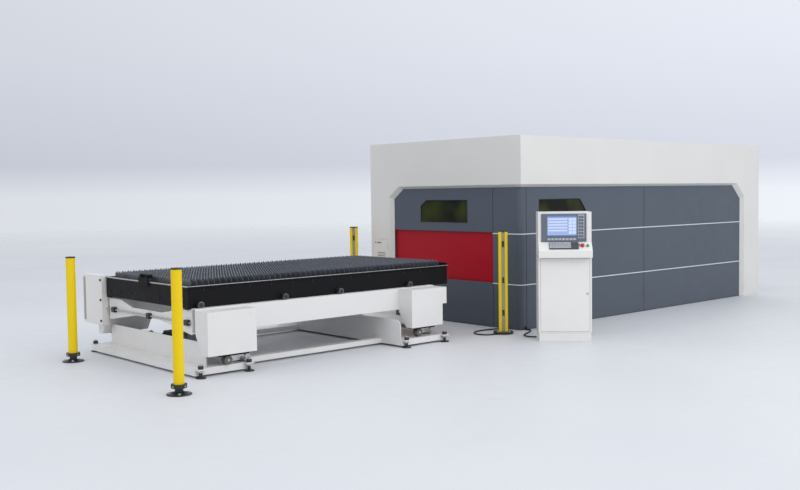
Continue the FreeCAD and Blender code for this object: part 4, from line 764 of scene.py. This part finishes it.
def add_pallet_details():
    """Bright strips that paint the highlight along the shuttle pallet's end and lips, a latch
    hook and screws on the pallet.
    """
    low, high = corners("pallet_frame")
    start, end = low.x + LIP, high.x
    near, far = low.y + LIP, high.y - LIP
    middle = (low.y + high.y) / 2

    # Painted highlights: bright steel strips where the pallet's end and lips catch the light.
    def edges(bm):
        block(bm, (start - 0.001, near, 0.7650), (start + 0.008, far, 0.7770), 0.0012)
        for y in (near - 0.0155, far + 0.0135):
            block(bm, (start, y, 0.7705), (end, y + 0.002, 0.7758), 0.0006)

    def hook(bm):
        for y in (middle - 0.070, middle + 0.045):
            block(bm, (start - 0.014, y, 0.806), (start + 0.050, y + 0.025, 0.842), 0.004)
        bar = [(0, 0), (0.011, 0), (0.011, 0.150), (0, 0.150)]
        turn_profile(bm, bar, facing(Vector((start + 0.016, middle - 0.075, 0.828)), Y), 20)

    def screws(bm):
        for i in range(13):
            for y, way in ((near, -Y), (far, Y)):
                cap_screw(bm, Vector((start + 0.16 + i * 0.24, y, 0.735)), way, 0.004)
        for offset in (-0.72, -0.50, -0.28, 0.28, 0.50, 0.72):
            cap_screw(bm, Vector((start, middle + offset, 0.640)), -X, 0.005)
    piece("pallet_edge_highlights", edges, "pallet", "pallet_paint", LOOKS["bright_steel"])
    piece("pallet_hook", hook, "pallet", "pallet_paint", LOOKS["pallet_paint"])
    piece("pallet_screws", screws, "pallet", "pallet_paint", LOOKS["cast_black"])


def add_wheel_caps():
    """A hub cap with its bolt on each end of the pallet's axles."""
    for number in (1, 2, 3, 4):
        low, high = corners("wheelset_%d" % number)
        axle = (low + high) / 2

        def caps(bm):
            for y, way in ((low.y, -Y), (high.y, Y)):
                hub = Vector((axle.x, y, axle.z))
                disc(bm, hub, way, 0.021, 0.004, 0.001)
                bolt(bm, hub + way * 0.004, way, 0.006)
        piece("wheel_caps_%d" % number, caps, "wheels_%d" % number, "wheel_steel",
              LOOKS["cast_black"])


def add_foot_nuts():
    """A lock nut and a top screw on each of the table's levelling feet."""
    top = corners("table_feet")[1].z
    nut = [(0.0145, 0.050), (0.026, 0.050), (0.027, 0.053), (0.027, 0.064), (0.0145, 0.064)]
    feet = [(x, y) for x in (-3.975, -3.485) for y in (0.185, 2.255)]
    feet += [(x, y) for x in (-1.645, -1.105) for y in (0.110, 2.330)]

    def nuts(bm):
        for x, y in feet:
            turn_profile(bm, nut, Matrix.Translation(on_cabin(x, y, 0)), 6)
            cap_screw(bm, on_cabin(x, y, top), Z, 0.008)
    piece("foot_nuts", nuts, "machine", "cast_black", ZINC)


def add_lift_details():
    """Motor fins and terminal box, bracket bolts, and the drive cover's screws and strip."""
    low, high = corners("lift_motor")
    axis = Vector((low.x + 0.015, (low.y + high.y) / 2, low.z + 0.090))
    ring = [(0.064, 0), (0.070, 0.0005), (0.070, 0.0055), (0.064, 0.006)]

    def fins(bm):
        for i in range(15):
            turn_profile(bm, ring, facing(axis + X * (i * 0.0165), X), 36)

    def terminal(bm):
        block(bm, on_cabin(-3.74, 1.165, 0.230), on_cabin(-3.62, 1.275, 0.285), 0.006)
        for y in (1.195, 1.245):
            disc(bm, on_cabin(-3.74, y, 0.258), -X, 0.012, 0.020, 0.002, 20)

    def bolts(bm):
        for pivot in (-3.470, -1.170):
            for y in (0.330, 2.110):
                for x in (pivot - 0.040, pivot + 0.040):
                    bolt(bm, on_cabin(x, y, 0.165), Z, 0.006)

    def cover_screws(bm):
        for z in (0.330, 0.540, 0.740):
            cap_screw(bm, on_cabin(-3.990, 2.070, z), -X, 0.007)

    def cover_strip(bm):
        block(bm, on_cabin(-3.9915, 2.420, 0.315), on_cabin(-3.9880, 2.465, 0.755), 0.0012)
    piece("motor_fins", fins, "machine", "motor_paint", LOOKS["motor_paint"])
    piece("terminal_box", terminal, "machine", "motor_paint", LOOKS["cast_black"])
    piece("bracket_bolts", bolts, "machine", "cast_black", ZINC)
    piece("cover_screws", cover_screws, "lift_frame", "table_paint", LOOKS["cast_black"])
    piece("cover_strip", cover_strip, "lift_frame", "table_paint", LOOKS["optic"])


def add_drive_rod():
    """Drive rod along the outer cross plate, carried by three dark bearing blocks."""
    low, high = corners("outer_cross_plate")
    x, z = low.x - 0.018, (low.z + high.z) / 2
    near, far = on_cabin(0, 0.420, 0).y, on_cabin(0, 2.060, 0).y

    def rod(bm):
        shape = [(0, 0), (0.0085, 0), (0.0085, far - near), (0, far - near)]
        turn_profile(bm, shape, facing(Vector((x, near, z)), Y), 20)

    def blocks(bm):
        for share in (0.03, 0.46, 0.90):
            y = near + (far - near) * share
            block(bm, (x - 0.017, y - 0.030, z - 0.026), (low.x + 0.002, y + 0.030, z + 0.026),
                  0.004)
    piece("drive_rod", rod, "lift_frame", "table_paint", LOOKS["bright_steel"])
    piece("drive_rod_blocks", blocks, "lift_frame", "table_paint", LOOKS["cast_black"])


def add_housing_details():
    """Painted plugs in the outer sides of the leg housings."""
    def plugs(bm):
        for x in (-3.86, -3.48, -1.47, -1.15):
            for y, way in ((0.150, -Y), (2.290, Y)):
                disc(bm, on_cabin(x, y, 0.530), way, 0.010, 0.003, 0.001, 24)
    piece("housing_plugs", plugs, "lift_frame", "table_paint", LOOKS["table_paint"])


add_camera()
add_light()
add_floor()
dress_nodes()
add_cables()
add_gaskets()
add_cabin_screws()
add_door_seal()
add_hatch_louvres()
add_nozzle()
add_mirror_post_details()
add_curtain_details()
add_screen()
add_console_keys()
add_cabinet_details()
add_pallet_details()
add_wheel_caps()
add_foot_nuts()
add_lift_details()
add_drive_rod()
add_housing_details()
